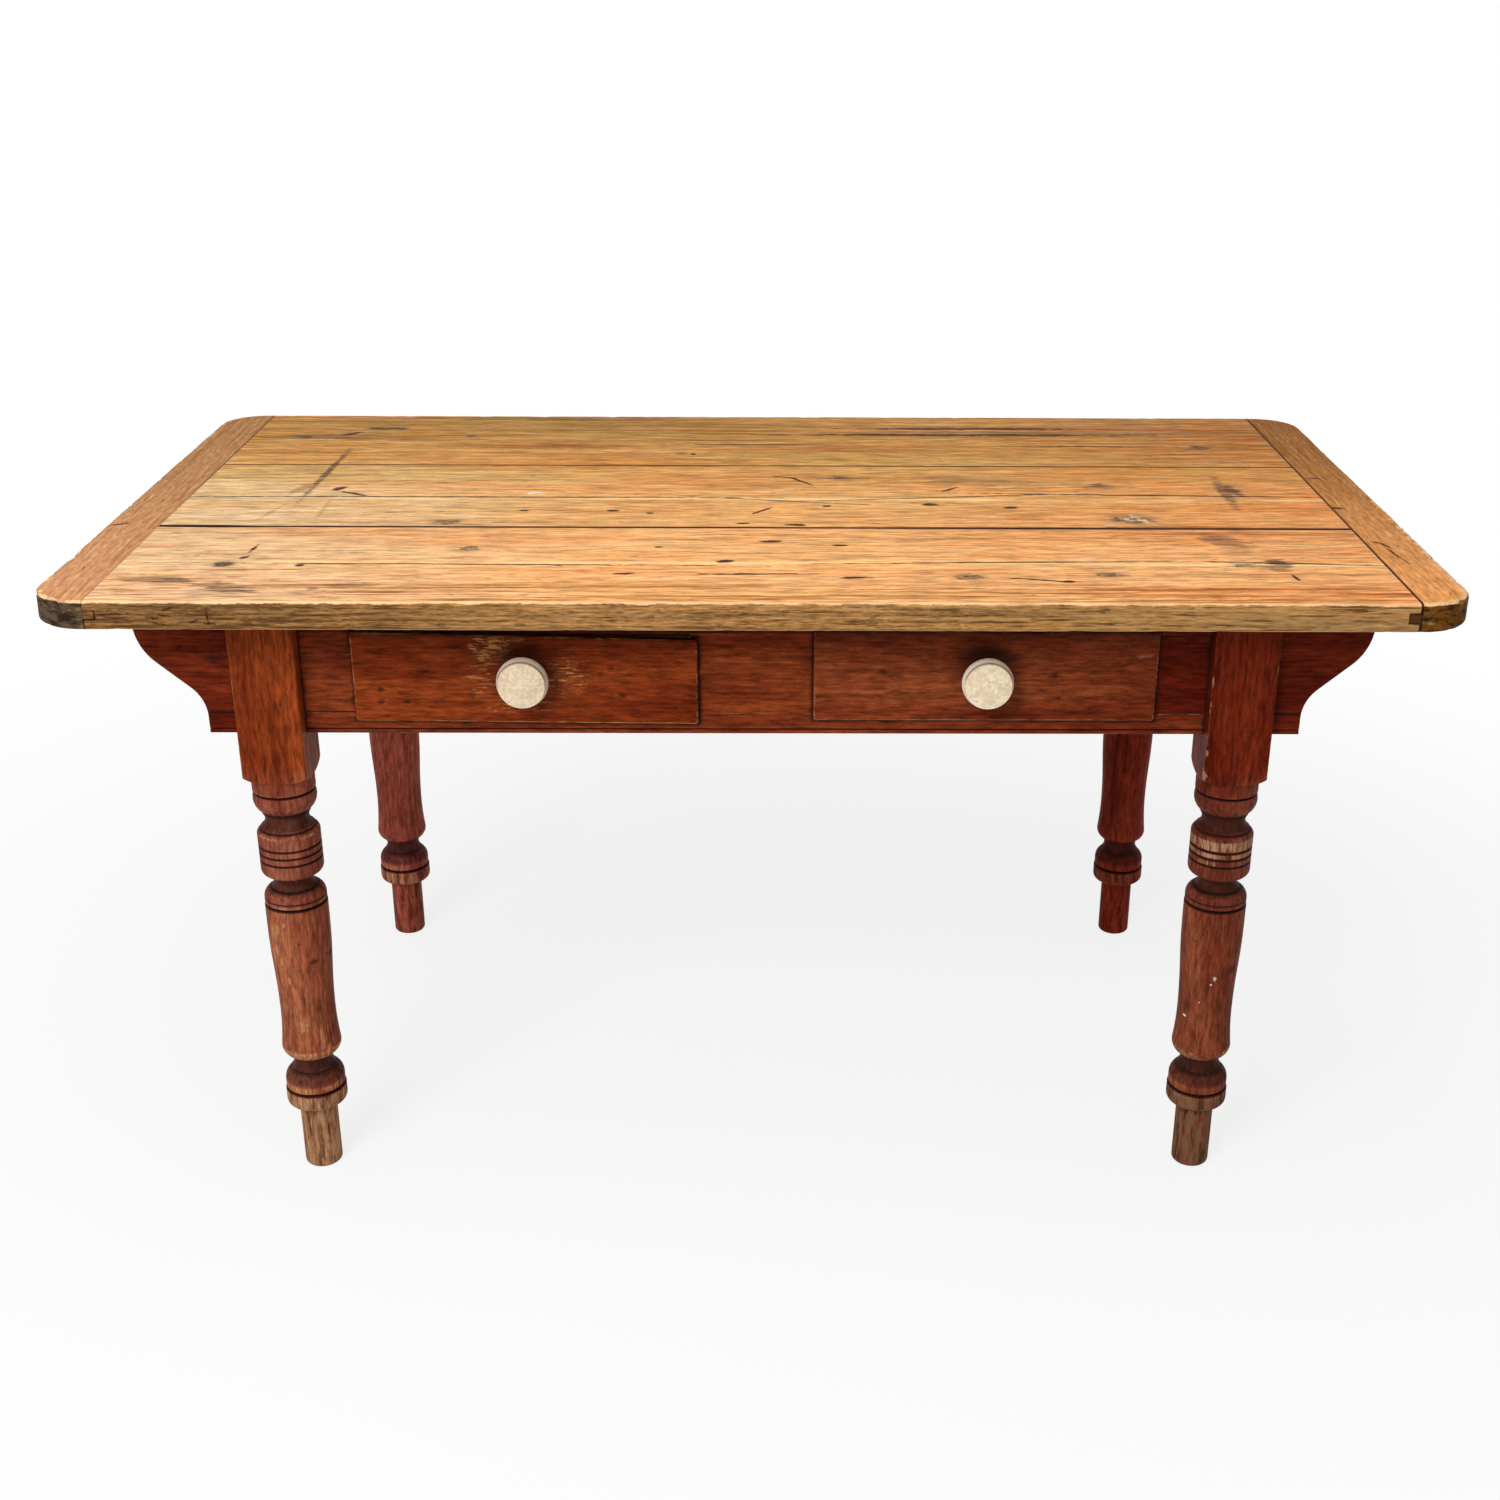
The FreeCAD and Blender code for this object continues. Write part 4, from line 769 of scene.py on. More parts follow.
def plank_finish(node, heart, spacing):
    """Worn, scrubbed pine of one top plank, with its own knots, dents and stains."""
    material, shader, place = new_finish(f"{node}_finish")
    rough = place.swing((60, 150, 150), 3, 0.6)
    bulge, core, eye = plank_knots(place, node, rough)
    grain = place.use(GRAIN, Heart=heart, Spacing=spacing, Sway=0.06, Bulge=bulge, Fine=(13, 250, 250))
    colour = plank_grain(place, grain, plank_tone(place, grain["Tone"]))
    # Painted highlight beside a crack
    if node in CRACK_HIGHLIGHT_LINES:
        colour = crack_highlight_line(place, CRACK_HIGHLIGHT_LINES[node]).blend(colour, CRACK_HIGHLIGHT)
    pits = small_pits(place)
    colour = pits.blend(colour, PLANK_DARK)
    colour = (eye * 0.4).blend(colour, PLANK_GREY)
    colour = (core * 0.85).blend(colour, PLANK_DARK)
    smudge = strokes(place, SMUDGES[node], 0.6, rough)
    smudge *= grain["Fibre"].ramp(0.36, 0.58, 0.35, 1.0)
    colour = smudge.blend(colour, SMUDGE_GREY)
    slots = strokes(place, SLOTS[node], 0.45, rough)
    colour = (slots * 0.95).blend(colour, PLANK_DARK)
    if node == "top_board_middle":
        torn = place.noise((130, 130, 130), 3, 0.6).ramp(0.38, 0.54)
        pale = strokes(place, SPLINTERS, 0.7, rough) * torn
        colour = pale.blend(colour, SPLINTER_PALE)
        colour = strokes(place, PAINT_FLECKS, 0.5, rough).blend(colour, PAINT_WHITE)
    colour = underside(place, grain, plank_edge(place, colour))
    colour = plank_seams(place).blend(colour, SEAM_DARK)
    gloss = grain["Fibre"].ramp(0.3, 0.7, 0.48, 0.64)
    hollow = pits | core * 0.3
    height = (grain["Fibre"] + grain["Streak"]) * -0.3
    surface(shader, colour, gloss, height - hollow, TOP_RELIEF)
    return material


# Dents of the end pieces: x and y from, x and y to, and half-width
END_DENTS = [
    (701, -197, 714, -205, 3.5), (711, -203, 721, -228, 3), (694, -52, 708, -58, 5),
    (700, 89, 718, 83, 3.5), (712, -215, 722, -290, 1.8), (-752, -146, -731, -131, 3),
]


def end_wood(place, grain, corner, low, high):
    """The sides of an end piece: brown along its length and dark grey where its grain ends."""
    brown = grain["Streak"].ramp(0.42, 0.62).blend(EDGE_KHAKI, EDGE_DARK)
    pores = place.noise((60, 60, 150), 5, 0.7)
    grey = pores.ramp(0.46, 0.6).blend(corner, END_DARK)
    grey = pores.ramp(0.44, 0.32).blend(grey, END_PALE)
    y = place.y
    ends = y.ramp(low.y + 0.055, low.y + 0.025) | y.ramp(high.y - 0.055, high.y - 0.025)
    return ends.blend(brown, grey), pores


def end_finish(node, side, back, front, corner, rubbed, seam_share):
    """Redder, harder-worn pine of an end piece; side is -1 on the left of the table and 1 on the right."""
    material, shader, place = new_finish(f"{node}_finish")
    low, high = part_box(node)
    own = turned(place, ALONG_Y)
    heart = (0, -side * 0.66, TOP_Z - 0.12)
    grain = own.use(GRAIN, Heart=heart, Spacing=0.003, Sway=0.02, Fine=(14, 300, 300))
    x, y, _ = place.split()
    share = y + (grain["Tone"] - 0.5) * 0.35
    colour = share.ramp(0.36, -0.44).blend(back, front)
    colour = (grain["Latewood"] * 0.6).tint(colour, LATE_TINT)
    colour = grain["Streak"].ramp(0.5, 0.74, 0, 0.45).tint(colour, STREAK_TINT)
    colour = grain["Fibre"].ramp(0.5, 0.72, 0, 0.55).tint(colour, STREAK_TINT)
    colour = grain["Fibre"].ramp(0.44, 0.28, 0, 0.3).blend(colour, HONEY_PALE)
    colour = colour.flecked(own.noise((45, 210, 210), 3, 0.7), 1.7, 0.15)
    pits = small_pits(own)
    rough = place.swing((150, 60, 150), 3, 0.6)
    dents = pits | strokes(place, END_DENTS, 0.6, rough)
    colour = (dents * 0.9).blend(colour, PLANK_DARK)
    # pale, splintered strip along the outer arris
    patch = place.noise((75, 75, 75), 4, 0.68).ramp(0.36, 0.64, 0.2, 1.6)
    reach = patch * y.ramp(0.15, -0.3, 0.4, 1.0) * rubbed
    worn = (rim_distance(place) + reach).ramp(-0.0015, 0.0015)
    colour = (worn * 0.85).blend(colour, ARRIS_PALE)
    below = side_mask(place)
    sides, pores = end_wood(place, grain, corner, low, high)
    tongue = (x * side).ramp(END_SEAM, END_SEAM - 0.0005)
    sides = tongue.blend(sides, edge_wood(place) if side < 0 else EDGE_DARK)
    colour = underside(place, grain, (below | tongue).blend(colour, sides))
    seam = near(x, side * END_SEAM, 0.0022) * y.ramp(-0.2, 0.1, seam_share, 0.7)
    colour = (seam * (1.0 - tongue)).blend(colour, SEAM_DARK)
    gloss = grain["Fibre"].ramp(0.3, 0.7, 0.52, 0.68)
    height = (grain["Fibre"] + pores * below) * -0.4
    surface(shader, colour, gloss, height - dents, TOP_RELIEF)
    return material


# Dark specks and small knots on the front, seen from the front: x, height and half-size
SPOTS = {
    "drawer_left_front": [
        (-414, 630, 5), (-413, 616, 4), (-385, 616, 3), (-313, 624, 5), (-148, 624, 5), (-160, 655, 4),
    ],
    "bracket_front_left": [(-594, 663, 10), (-631, 677, 5)],
    "drawer_right_front": [(140, 652, 6), (330, 648, 6), (335, 622, 3)],
    "leg_front_left": [(-517, 292, 6), (-503, 294, 4), (-531, 318, 2)],
    "leg_front_right": [(559, 281, 9), (513, 318, 2), (520, 330, 2)],
}
# Flecks of white paint and light bruises, seen from the front: x, height and half-size
LIGHT_SPOTS = {
    "leg_front_right": [(538.5, 272, 3.6), (535, 264, 1.8), (524, 238, 1.3), (511, 214, 2)],
    "drawer_right_front": [(427, 671, 4)],
}
# Bare flakes of the legs: the depth they lie in front of, then x, height and half-height of each
FLAKES = {
    "leg_front_left": (FRONT_DEPTH, [
        (-540, 205, 10), (-535, 206, 12), (-560.5, 329, 13), (-555, 336, 8), (-559, 306, 10),
        (-554.5, 292, 9), (-548, 268, 7), (-546, 342, 7),
    ]),
    "leg_front_right": (BLOCK_DEPTH, [(503, 533, 12), (503.5, 560, 5)]),
}


def lip_corners(node):
    """The heights of the lower and upper edge of a drawer front at its left and its right end."""
    low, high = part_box(node)
    inset = 0.012
    ends = []
    for at_end in (lambda x: x < low.x + inset, lambda x: x > high.x - inset):
        heights = [vertex.co.z for vertex in NODES[node].data.vertices if at_end(vertex.co.x)]
        ends.append((min(heights), max(heights)))
    return ends


def squared(place, node):
    """The coordinates with the slope of a drawer front's edges taken out, so that its box fits it."""
    low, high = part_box(node)
    (left_low, left_high), (right_low, right_high) = lip_corners(node)
    x, y, z = place.split()
    along = (x - low.x) / (high.x - low.x)
    floor = along.math("MULTIPLY_ADD", right_low - left_low, left_low)
    ceiling = along.math("MULTIPLY_ADD", right_high - left_high, left_high)
    rise = (z - floor) / (ceiling - floor)
    level = rise.math("MULTIPLY_ADD", high.z - low.z, low.z)
    return place.net.out("ShaderNodeCombineXYZ", X=x, Y=y, Z=level)


def spots(place, places, stretch, front=FRONT_DEPTH):
    """Small ragged spots on what lies in front of a depth, seen from the front."""
    rough = place.swing((160, 160, 160), 3, 0.6)
    whole = 0.0
    for spot in places:
        x, z, half = metres(spot)
        size = (half * stretch, FAR, half)
        mark = place.use(MARK, Centre=(x, 0, z), Size=size, Soft=0.9, Rough=rough)
        whole |= mark["Mask"]
    return whole * place.y.ramp(front, front - 0.005)


def specked(place, node, stretch, dirt_and_shade):
    """The grime and painted shade of a piece, with the piece's own dark specks."""
    if node not in SPOTS:
        return dirt_and_shade
    return dirt_and_shade | spots(place, SPOTS[node], stretch) * 0.75


def rectangle_distance(place, low, high):
    """Distance from the nearest side of a rectangle that faces the front, positive inside it."""
    inner = (place - tuple(low)) & (tuple(high) - place)
    x, _, z = inner.split()
    return x & z


def round_knob(place, node):
    """The knob's place as distances across and up, and the distance from its axis."""
    low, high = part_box(node)
    offset = place - tuple((low + high) / 2)
    x, _, z = offset.split()
    return x, z, (offset * (1, 0, 1)).length()


def stain_over(place, grain, wear, dirt_and_shade, stain, bare):
    """The worn stain laid over a piece's grain."""
    lines = {name: grain[name] for name in ("Latewood", "Streak", "Fibre")}
    return place.use(STAIN, Wear=wear, Dirt=dirt_and_shade, Stain=stain, Bare=bare, **lines)


# Rubbed patches round the left knob: across, up, half-width, half-height and strength
KNOB_PATCHES = [
    (-36, 34, 28, 26, 1.6), (-28, 44, 40, 12, 1.3), (44, -2, 36, 34, 0.72), (-6, -36, 60, 14, 0.62),
    (-50, -6, 26, 30, 0.6),
]
# Heights in metres between which a drawer's lower lip ends, and between which the painted shade of the top
# begins
LIP_END = (0.614, 0.619)
SHADE_START = (0.685, 0.700)
# Distances in metres behind a drawer's face between which its stain ends
STAIN_END = (0.0085, 0.0095)


def knob_scratches(place):
    """Scratches beside the left knob, where fingers have rubbed the stain away."""
    x, z, _ = round_knob(place, "knob_left")
    dashes = place.noise((72, 420, 420), 4, 0.68).ramp(0.46, 0.58)
    whole = 0.0
    for *patch, strength in KNOB_PATCHES:
        across, up, wide, tall = metres(patch)
        dx = (x - across) / wide
        dz = (z - up) / tall
        away = (dx * dx + dz * dz).math("SQRT")
        whole |= away.ramp(1.2, 0.3) * dashes * strength
    return whole


def drawer_finish(node, knob, stain, low_stain, bare, scratches):
    """A stained drawer front: a rubbed line along its lip, grime round and above its knob, and painted shade
    along its border and below the top.
    """
    material, shader, place = new_finish(f"{node}_finish")
    low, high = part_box(node)
    grain = place.use(GRAIN, Heart=heart_of(node, ALONG_X))
    _, y, z = place.split()
    level = squared(place, node)
    border = rectangle_distance(level, low, high)
    broken = place.noise((24, 24, 24), 4, 0.68).ramp(0.36, 0.64, 0.4, 1.1)
    lowest = level.z.ramp(low.z + 0.009, low.z + 0.005, 0.55, 1.05)
    wear = border.ramp(0.0034, 0.0016) * broken * lowest
    if scratches:
        wear |= scratches(place)
    _, up, away = round_knob(place, knob)
    cloud = place.swing((40, 40, 40), 3) * 0.02
    ring = (away + cloud).ramp(0.05, 0.026)
    dirt_and_shade = ring * up.ramp(-0.01, 0.03, 0.25, 0.85)
    # Painted shade: a dark line along the border and a darker band below the top; the ring round the knob is
    # grime
    dirt_and_shade = dirt_and_shade | border.ramp(0.001, 0.0003, 0, 0.8) | z.ramp(*SHADE_START, 0, 0.6)
    dirt_and_shade = specked(place, node, 1.4, dirt_and_shade)
    face = (z + cloud * 0.3).ramp(*LIP_END)
    finish = stain_over(place, grain, wear, dirt_and_shade, face.blend(low_stain, stain), bare)
    colour = finish["Colour"]
    if node in LIGHT_SPOTS:
        colour = (spots(place, LIGHT_SPOTS[node], 3.0) * 0.5).blend(colour, BARE_ROSE)
    inside = y.ramp(*(low.y + depth for depth in STAIN_END))
    colour = inside.blend(colour, grain["Tone"].blend(RAW_DEEP, RAW_PINE))
    surface(shader, colour, finish["Roughness"], finish["Height"], STAIN_RELIEF)
    return material


def contact_dirt(place, touching):
    """Grime and painted shade where a piece meets the named neighbours, and painted shade along the underside
    of the top.
    """
    # Painted shade under the top; grime and painted shade where the neighbours meet the piece
    dirt_and_shade = place.z.ramp(TOP_UNDER - 0.01, TOP_UNDER, 0, 0.8)
    for other in touching:
        low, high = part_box(other)
        around = squared(place, other) if other.startswith("drawer") else place
        lines = around.use(CONTACT, Low=low, High=high, Reach=0.006)["Dirt"]
        dirt_and_shade |= lines * 0.85
    return dirt_and_shade


def stained_finish(node, turn, stain, reach, touching=(), joint=None, joint_wide=0.0026):
    """Red-stained pine of one piece of the frame, rubbed along its edges, with grime and painted shade where
    it meets others.
    """
    material, shader, place = new_finish(f"{node}_finish")
    low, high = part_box(node)
    own = turned(place, turn)
    grain = own.use(GRAIN, Heart=heart_of(node, turn))
    wear = place.use(EDGE, Low=low, High=high, Reach=reach)["Edge"] * 0.8
    dirt_and_shade = contact_dirt(place, touching)
    if joint:
        dirt_and_shade |= near(place.z, joint, joint_wide) * 0.9
    dirt_and_shade = specked(place, node, 1.4, dirt_and_shade)
    finish = stain_over(own, grain, wear, dirt_and_shade, stain, BARE_ROSE)
    surface(shader, finish["Colour"], finish["Roughness"], finish["Height"], STAIN_RELIEF)
    return material


# Heights on the turned legs in metres: hollows darkened with grime and painted shade, rims rubbed pale that
# also stand for painted highlights, the worn foot, the bell above it and the grime on the bell, the shaft,
# the knee below the square block, the lower end of the block, and worn bands with the wear that each follows
# and its share of it
HOLLOWS = [(0.109, 0.113), (0.136, 0.139), (0.358, 0.362), (0.3668, 0.3688), (0.3785, 0.3815),
           (0.4155, 0.4185), (0.4245, 0.4275), (0.4335, 0.4365), (0.4540, 0.4568), (0.4735, 0.4785),
           (0.5000, 0.5035)]
# Rims: pale bands of wear that also stand for painted highlights
RIMS = [(0.1185, 0.1215), (0.1560, 0.1580), (0.3625, 0.3650), (0.3970, 0.3995), (0.4490, 0.4525),
        (0.5035, 0.5055)]
FOOT_WORN = (0.094, 0.062)
BELL = (0.122, 0.156)
BELL_DIRT = (0.124, 0.154)
SHAFT = (0.16, 0.358)
KNEE = (0.360, 0.520)
BLOCK_LOW = 0.520
BANDS = [(0.087, 0.108, "ring", 1.0), (0.1135, 0.121, "band", 1.0), (0.157, 0.170, "flare", 1.0),
         (0.4375, 0.449, "drum", 1.0), (0.428, 0.4335, "drum", 0.9), (0.4185, 0.4245, "drum", 0.4)]
BANDS += [(bottom, top, "rim", 1.0) for bottom, top in RIMS]


def leg_wear(place, height, worn):
    """Where the stain of a leg is worn off: the foot, the rims of the turning, whose pale bands are also
    painted highlights, and threads along the shaft.
    """
    z = place.z
    blotch = place.noise((75, 75, 24), 4, 0.72).ramp(0.36, 0.56, 0.3, 1.0)
    wear = height.ramp(*FOOT_WORN) * blotch * worn["foot"]
    patch = place.noise((30, 30, 16), 3, 0.6).ramp(0.34, 0.6, 0.35, 1.0)
    for bottom, top, name, share in BANDS:
        wear |= z.inside(bottom, top, 0.0012) * patch * (worn[name] * share)
    thread = place.noise((95, 95, 16), 4, 0.7).ramp(0.5, 0.64)
    zone = place.noise((12, 12, 5), 2).ramp(0.36, 0.58)
    return wear | thread * zone * z.inside(*SHAFT, 0.01) * worn["streaks"]


def leg_dirt_and_shade(place, middle):
    """Grime and painted shade in the hollows and coves of a leg, at its foot and against the top."""
    z = place.z
    lines = 0.0
    for bottom, top in HOLLOWS:
        lines |= z.inside(bottom, top, 0.0008)
    offset = (place - tuple(middle)) * (1, 1, 0)
    cove = offset.length().ramp(0.0335, 0.0275) * z.ramp(0.108, 0.115)
    # Darker at the floor and under the top: painted shade, with grime at the foot
    ends = z.ramp(0.004, 0.0, 0, 0.8) | z.ramp(TOP_UNDER - 0.008, TOP_UNDER, 0, 0.8)
    bell = z.inside(*BELL_DIRT, 0.004) * place.noise((40, 40, 40), 3) * 0.9
    return lines * 0.95 | cove * 0.7 | bell | ends


def leg_finish(node, block, turning, bare, bare_foot, worn):
    """Stained, turned pine with grime and painted shade in its hollows; worn gives the wear of each part, 1
    for well rubbed.
    """
    material, shader, place = new_finish(f"{node}_finish")
    low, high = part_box(node)
    own = turned(place, ALONG_Z)
    heart = heart_of(node, ALONG_Z, (0.04, 0.05, 0))
    grain = own.use(GRAIN, Heart=heart, Sway=0.02)
    z = place.z
    cloud = place.swing((26, 26, 12), 4, 0.6)
    height = z + cloud * 0.05
    wear = leg_wear(place, height, worn)
    edge = place.use(EDGE, Low=low, High=high, Reach=0.004)["Edge"]
    wear |= edge * z.ramp(BLOCK_LOW - 0.005, BLOCK_LOW + 0.008) * 0.6
    if node in FLAKES:
        front, places = FLAKES[node]
        wear |= spots(place, places, 0.4, front) * 1.8
    dirt_and_shade = specked(place, node, 1.2, leg_dirt_and_shade(place, (low + high) / 2))
    knee = z.inside(*KNEE, 0.003).tint(turning, KNEE_TINT)
    knee = z.inside(*BELL, 0.002).tint(knee, BELL_TINT)
    stain = height.ramp(BLOCK_LOW - 0.04, BLOCK_LOW + 0.03).blend(knee, block)
    bare = z.ramp(0.1, 0.12).blend(bare_foot, bare)
    finish = stain_over(own, grain, wear, dirt_and_shade, stain, bare)
    colour = finish["Colour"]
    ticks = place.noise((150, 150, 18), 4, 0.7).ramp(0.49, 0.6)
    colour = (ticks * z.ramp(0.114, 0.108) * 0.8).tint(colour, FOOT_TINT)
    if node in LIGHT_SPOTS:
        colour = (spots(place, LIGHT_SPOTS[node], 1.0) * 0.9).blend(colour, PAINT_WHITE)
    surface(shader, colour, finish["Roughness"], finish["Height"], STAIN_RELIEF)
    return material


def raw_finish(name, turn):
    """Bare, aged pine inside the drawers and under the top."""
    material, shader, place = new_finish(name)
    own = turned(place, turn)
    grain = own.use(GRAIN, Heart=(0, 0.02, 0.55), Spacing=0.0045)
    colour = raw_tone(grain)
    colour = (grain["Latewood"] * 0.8).tint(colour, LATE_TINT)
    colour = grain["Streak"].ramp(0.5, 0.74, 0, 0.7).tint(colour, STREAK_TINT)
    colour = grain["Fibre"].ramp(0.5, 0.76, 0, 0.7).tint(colour, STREAK_TINT)
    rough = grain["Fibre"].ramp(0.3, 0.7, 0.6, 0.75)
    surface(shader, colour, rough, grain["Fibre"] * -1, RAW_RELIEF)
    return material


def steel_finish():
    """Dull steel with a little rust."""
    material, shader, place = new_finish("dull_steel", GLOSSY_SPECULAR)
    rust = place.noise((120, 120, 120), 4, 0.65).ramp(0.5, 0.68)
    colour = rust.blend(STEEL, RUST)
    paint(shader, Base_Color=colour, Metallic=rust.ramp(0, 1, 0.9, 0.1), Roughness=rust.ramp(0, 1, 0.42, 0.8))
    return material


# Bands round the edge of a knob, as distances in metres inside its widest ring: the white rim of painted
# highlight, the rim where it is broader below as a painted reflection of the floor, and the brown line of
# painted shade
RIM_HIGHLIGHT = (0.0026, 0.0012)
LOWER_RIM_REFLECTION = (0.0044, 0.0028)
SHADE_LINE = (0.0026, 0.0014)


def glaze_finish(node):
    """Cream glaze, mottled on the face, with a brown line of painted shade round its upper edge and a white
    rim, broader below, painted as a highlight and a reflection of the floor.
    """
    material, shader, place = new_finish(f"{node}_glaze", GLOSSY_SPECULAR)
    low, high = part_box(node)
    radius = (high.x - low.x) / 2
    highlight_from, highlight_to, reflection_from, reflection_to, shade_from, shade_to = (
        radius - inwards for inwards in RIM_HIGHLIGHT + LOWER_RIM_REFLECTION + SHADE_LINE)
    _, up, away = round_knob(place, node)
    mottle = place.noise((260, 260, 260), 3, 0.6).ramp(0.42, 0.62)
    cloud = place.noise((60, 60, 60), 3, 0.6).ramp(0.42, 0.7)
    colour = (mottle * 0.7).blend(CREAM, CREAM_DEEP)
    colour = (cloud * 0.5).blend(colour, CREAM_DEEP)
    speck = place.noise((330, 330, 330), 1).ramp(0.72, 0.78, 0, 0.7)
    colour = speck.blend(colour, CRAZE_AND_SHADE_BROWN)
    # Painted highlight on the rim, broader below as a painted reflection of the floor
    lower = away.ramp(reflection_from, reflection_to) * up.ramp(-0.004, -0.018)
    rim = away.ramp(highlight_from, highlight_to) | lower
    colour = (rim * 0.85).blend(colour, GLAZE_HIGHLIGHT)
    # Painted shade along the upper edge of the face
    line = away.inside(shade_from, shade_to, 0.0006) * up.ramp(0.0, 0.014)
    colour = place.net.blend(1.0, colour, GLAZE_TINT[node], "MULTIPLY")
    colour = (line * 0.8).blend(colour, CRAZE_AND_SHADE_BROWN)
    paint(shader, Base_Color=colour, Roughness=mottle.ramp(0, 1, 0.14, 0.3))
    return material


# Worn copies: distance in metres within which points merge, and angles of flat faces and of smooth edges
MERGE_REACH = 0.00001
FLAT_ANGLE = math.radians(0.5)
SMOOTH_ANGLE = math.radians(40)
# Width of the worn strip along an arris in metres, and its waves, nicks and chips per metre
ARRIS_REACH = 0.0065
WAVES, NICKS, CHIPS = 14, 75, 170
# Wear of the planks and of the end pieces in metres: length of a slice, depth of the wave and of the nicks
PLANK_WEAR = (0.008, 0.0008, 0.0032)
END_WEAR = (0.006, 0.0012, 0.0060)


def dress(node, material):
    """Give a node's own mesh one material."""
    slots = NODES[node].data.materials
    slots.clear()
    slots.append(material)


def select_only(piece):
    """Make one object the only selected and the active one."""
    bpy.ops.object.select_all(action="DESELECT")
    piece.select_set(True)
    bpy.context.view_layer.objects.active = piece


def sliced_copy(node, axis, pitch):
    """A merged copy of a node's mesh, cut into slices so that its edges can be worn."""
    piece = bpy.data.objects.new(f"worn_{node}", NODES[node].data.copy())
    bpy.context.scene.collection.objects.link(piece)
    select_only(piece)
    bpy.ops.mesh.customdata_custom_splitnormals_clear()
    bpy.ops.object.mode_set(mode="EDIT")
    bpy.ops.mesh.select_all(action="SELECT")
    bpy.ops.mesh.remove_doubles(threshold=MERGE_REACH)
    bpy.ops.mesh.dissolve_limited(angle_limit=FLAT_ANGLE)
    low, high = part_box(node)
    count = int((high[axis] - low[axis]) / pitch)
    normal = Vector((0, 0, 0))
    normal[axis] = 1
    for step in range(1, count):
        bpy.ops.mesh.select_all(action="SELECT")
        bpy.ops.mesh.bisect(plane_co=low + (high - low) * (step / count), plane_no=normal)
    bpy.ops.object.mode_set(mode="OBJECT")
    return piece


def wear_down(piece, node, depth_at):
    """Push the points of a copy inwards by depth_at(point) and make it stand for its node."""
    vertices = piece.data.vertices
    inward = [-vertex.normal for vertex in vertices]
    for vertex, way in zip(vertices, inward):
        vertex.co += way * depth_at(vertex.co)
    select_only(piece)
    bpy.ops.object.shade_smooth_by_angle(angle=SMOOTH_ANGLE)
    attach(piece, "table")
    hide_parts(node)


def nick_depth(point, rim, wave, nick):
    """Depth of wear along an arris in metres: a slow wave with sharper nicks; rim is 0 at the edge."""
    reach = min(1.0, 1.6 * max(0.0, 1 + rim / ARRIS_REACH))
    slow = 0.5 + 0.5 * noise.noise(point * WAVES)
    sharp = max(0.0, noise.noise(point * NICKS) - 0.18)
    sharp += 0.6 * max(0.0, noise.noise(point * CHIPS) - 0.3)
    return reach * (wave * slow + nick * sharp)


def worn_plank(node):
    """A top plank whose outer arris is dented and rubbed."""
    pitch, *depths = PLANK_WEAR

    def depth(point):
        return nick_depth(point, abs(point.y) - TOP_HIGH.y, *depths)
    wear_down(sliced_copy(node, 0, pitch), node, depth)


def worn_end(node, side):
    """An end piece whose outer arrises are nicked all round."""
    pitch, *depths = END_WEAR

    def depth(point):
        x, y = side * point.x - TOP_HIGH.x, abs(point.y) - TOP_HIGH.y
        rim = max(x, y)
        if x > -CORNER_RADIUS and y > -CORNER_RADIUS:
            rim = Vector((x + CORNER_RADIUS, y + CORNER_RADIUS)).length - CORNER_RADIUS
        return nick_depth(point, rim, *depths)
    wear_down(sliced_copy(node, 1, pitch), node, depth)


def dress_top():
    """Finish the boards and end pieces of the top."""
    # heart line and ring spacing of each plank
    hearts = {
        "top_board_front": ((0, -0.30, TOP_Z - 0.05), 0.0048),
        "top_board_middle": ((0, 0.06, TOP_Z - 0.07), 0.0052),
        "top_board_back": ((0, 0.27, TOP_Z - 0.05), 0.0048),
    }
    for node, (heart, spacing) in hearts.items():
        dress(node, plank_finish(node, heart, spacing))
    left_tones = LEFT_END_BACK, LEFT_END_FRONT, END_GREY
    right_tones = RIGHT_END_BACK, RIGHT_END_FRONT, END_BROWN
    dress("top_end_left", end_finish("top_end_left", -1, *left_tones, 0.0045, 0.10))
    dress("top_end_right", end_finish("top_end_right", 1, *right_tones, 0.0080, 0.9))
    worn_plank("top_board_front")
    worn_plank("top_board_back")
    worn_end("top_end_left", -1)
    worn_end("top_end_right", 1)


def dress_legs():
    """Finish the four legs, each with its own wear."""
    # colours of the block, the turning, the bare wood and the bare foot, then the wear of each part
    legs = {
        "leg_front_left": (
            RUST_RED, TURNED_BROWN, BARE_ORANGE, BARE_TAN, (1.7, 2.1, 0.7, 1.1, 0.12, 0.6, 0.7)),
        "leg_front_right": (
            OXBLOOD_DEEP, TURNED_RED, BARE_PALE, BARE_BROWN, (1.7, 1.5, 0.1, 0.6, 1.2, 0.35, 0.3)),
        "leg_back_left": (
            OXBLOOD, SHADED_BROWN, BARE_TAN, BARE_TAN, (0.15, 0.6, 0.4, 0.2, 0.1, 0.4, 0.2)),
        "leg_back_right": (
            OXBLOOD_DEEP, SHADED_RED, BARE_BROWN, BARE_BROWN, (0.1, 0.5, 0.3, 0.1, 0.1, 0.3, 0.1)),
    }
    for node, (*colours, shares) in legs.items():
        worn = dict(zip(("foot", "ring", "band", "flare", "drum", "rim", "streaks"), shares))
        dress(node, leg_finish(node, *colours, worn))


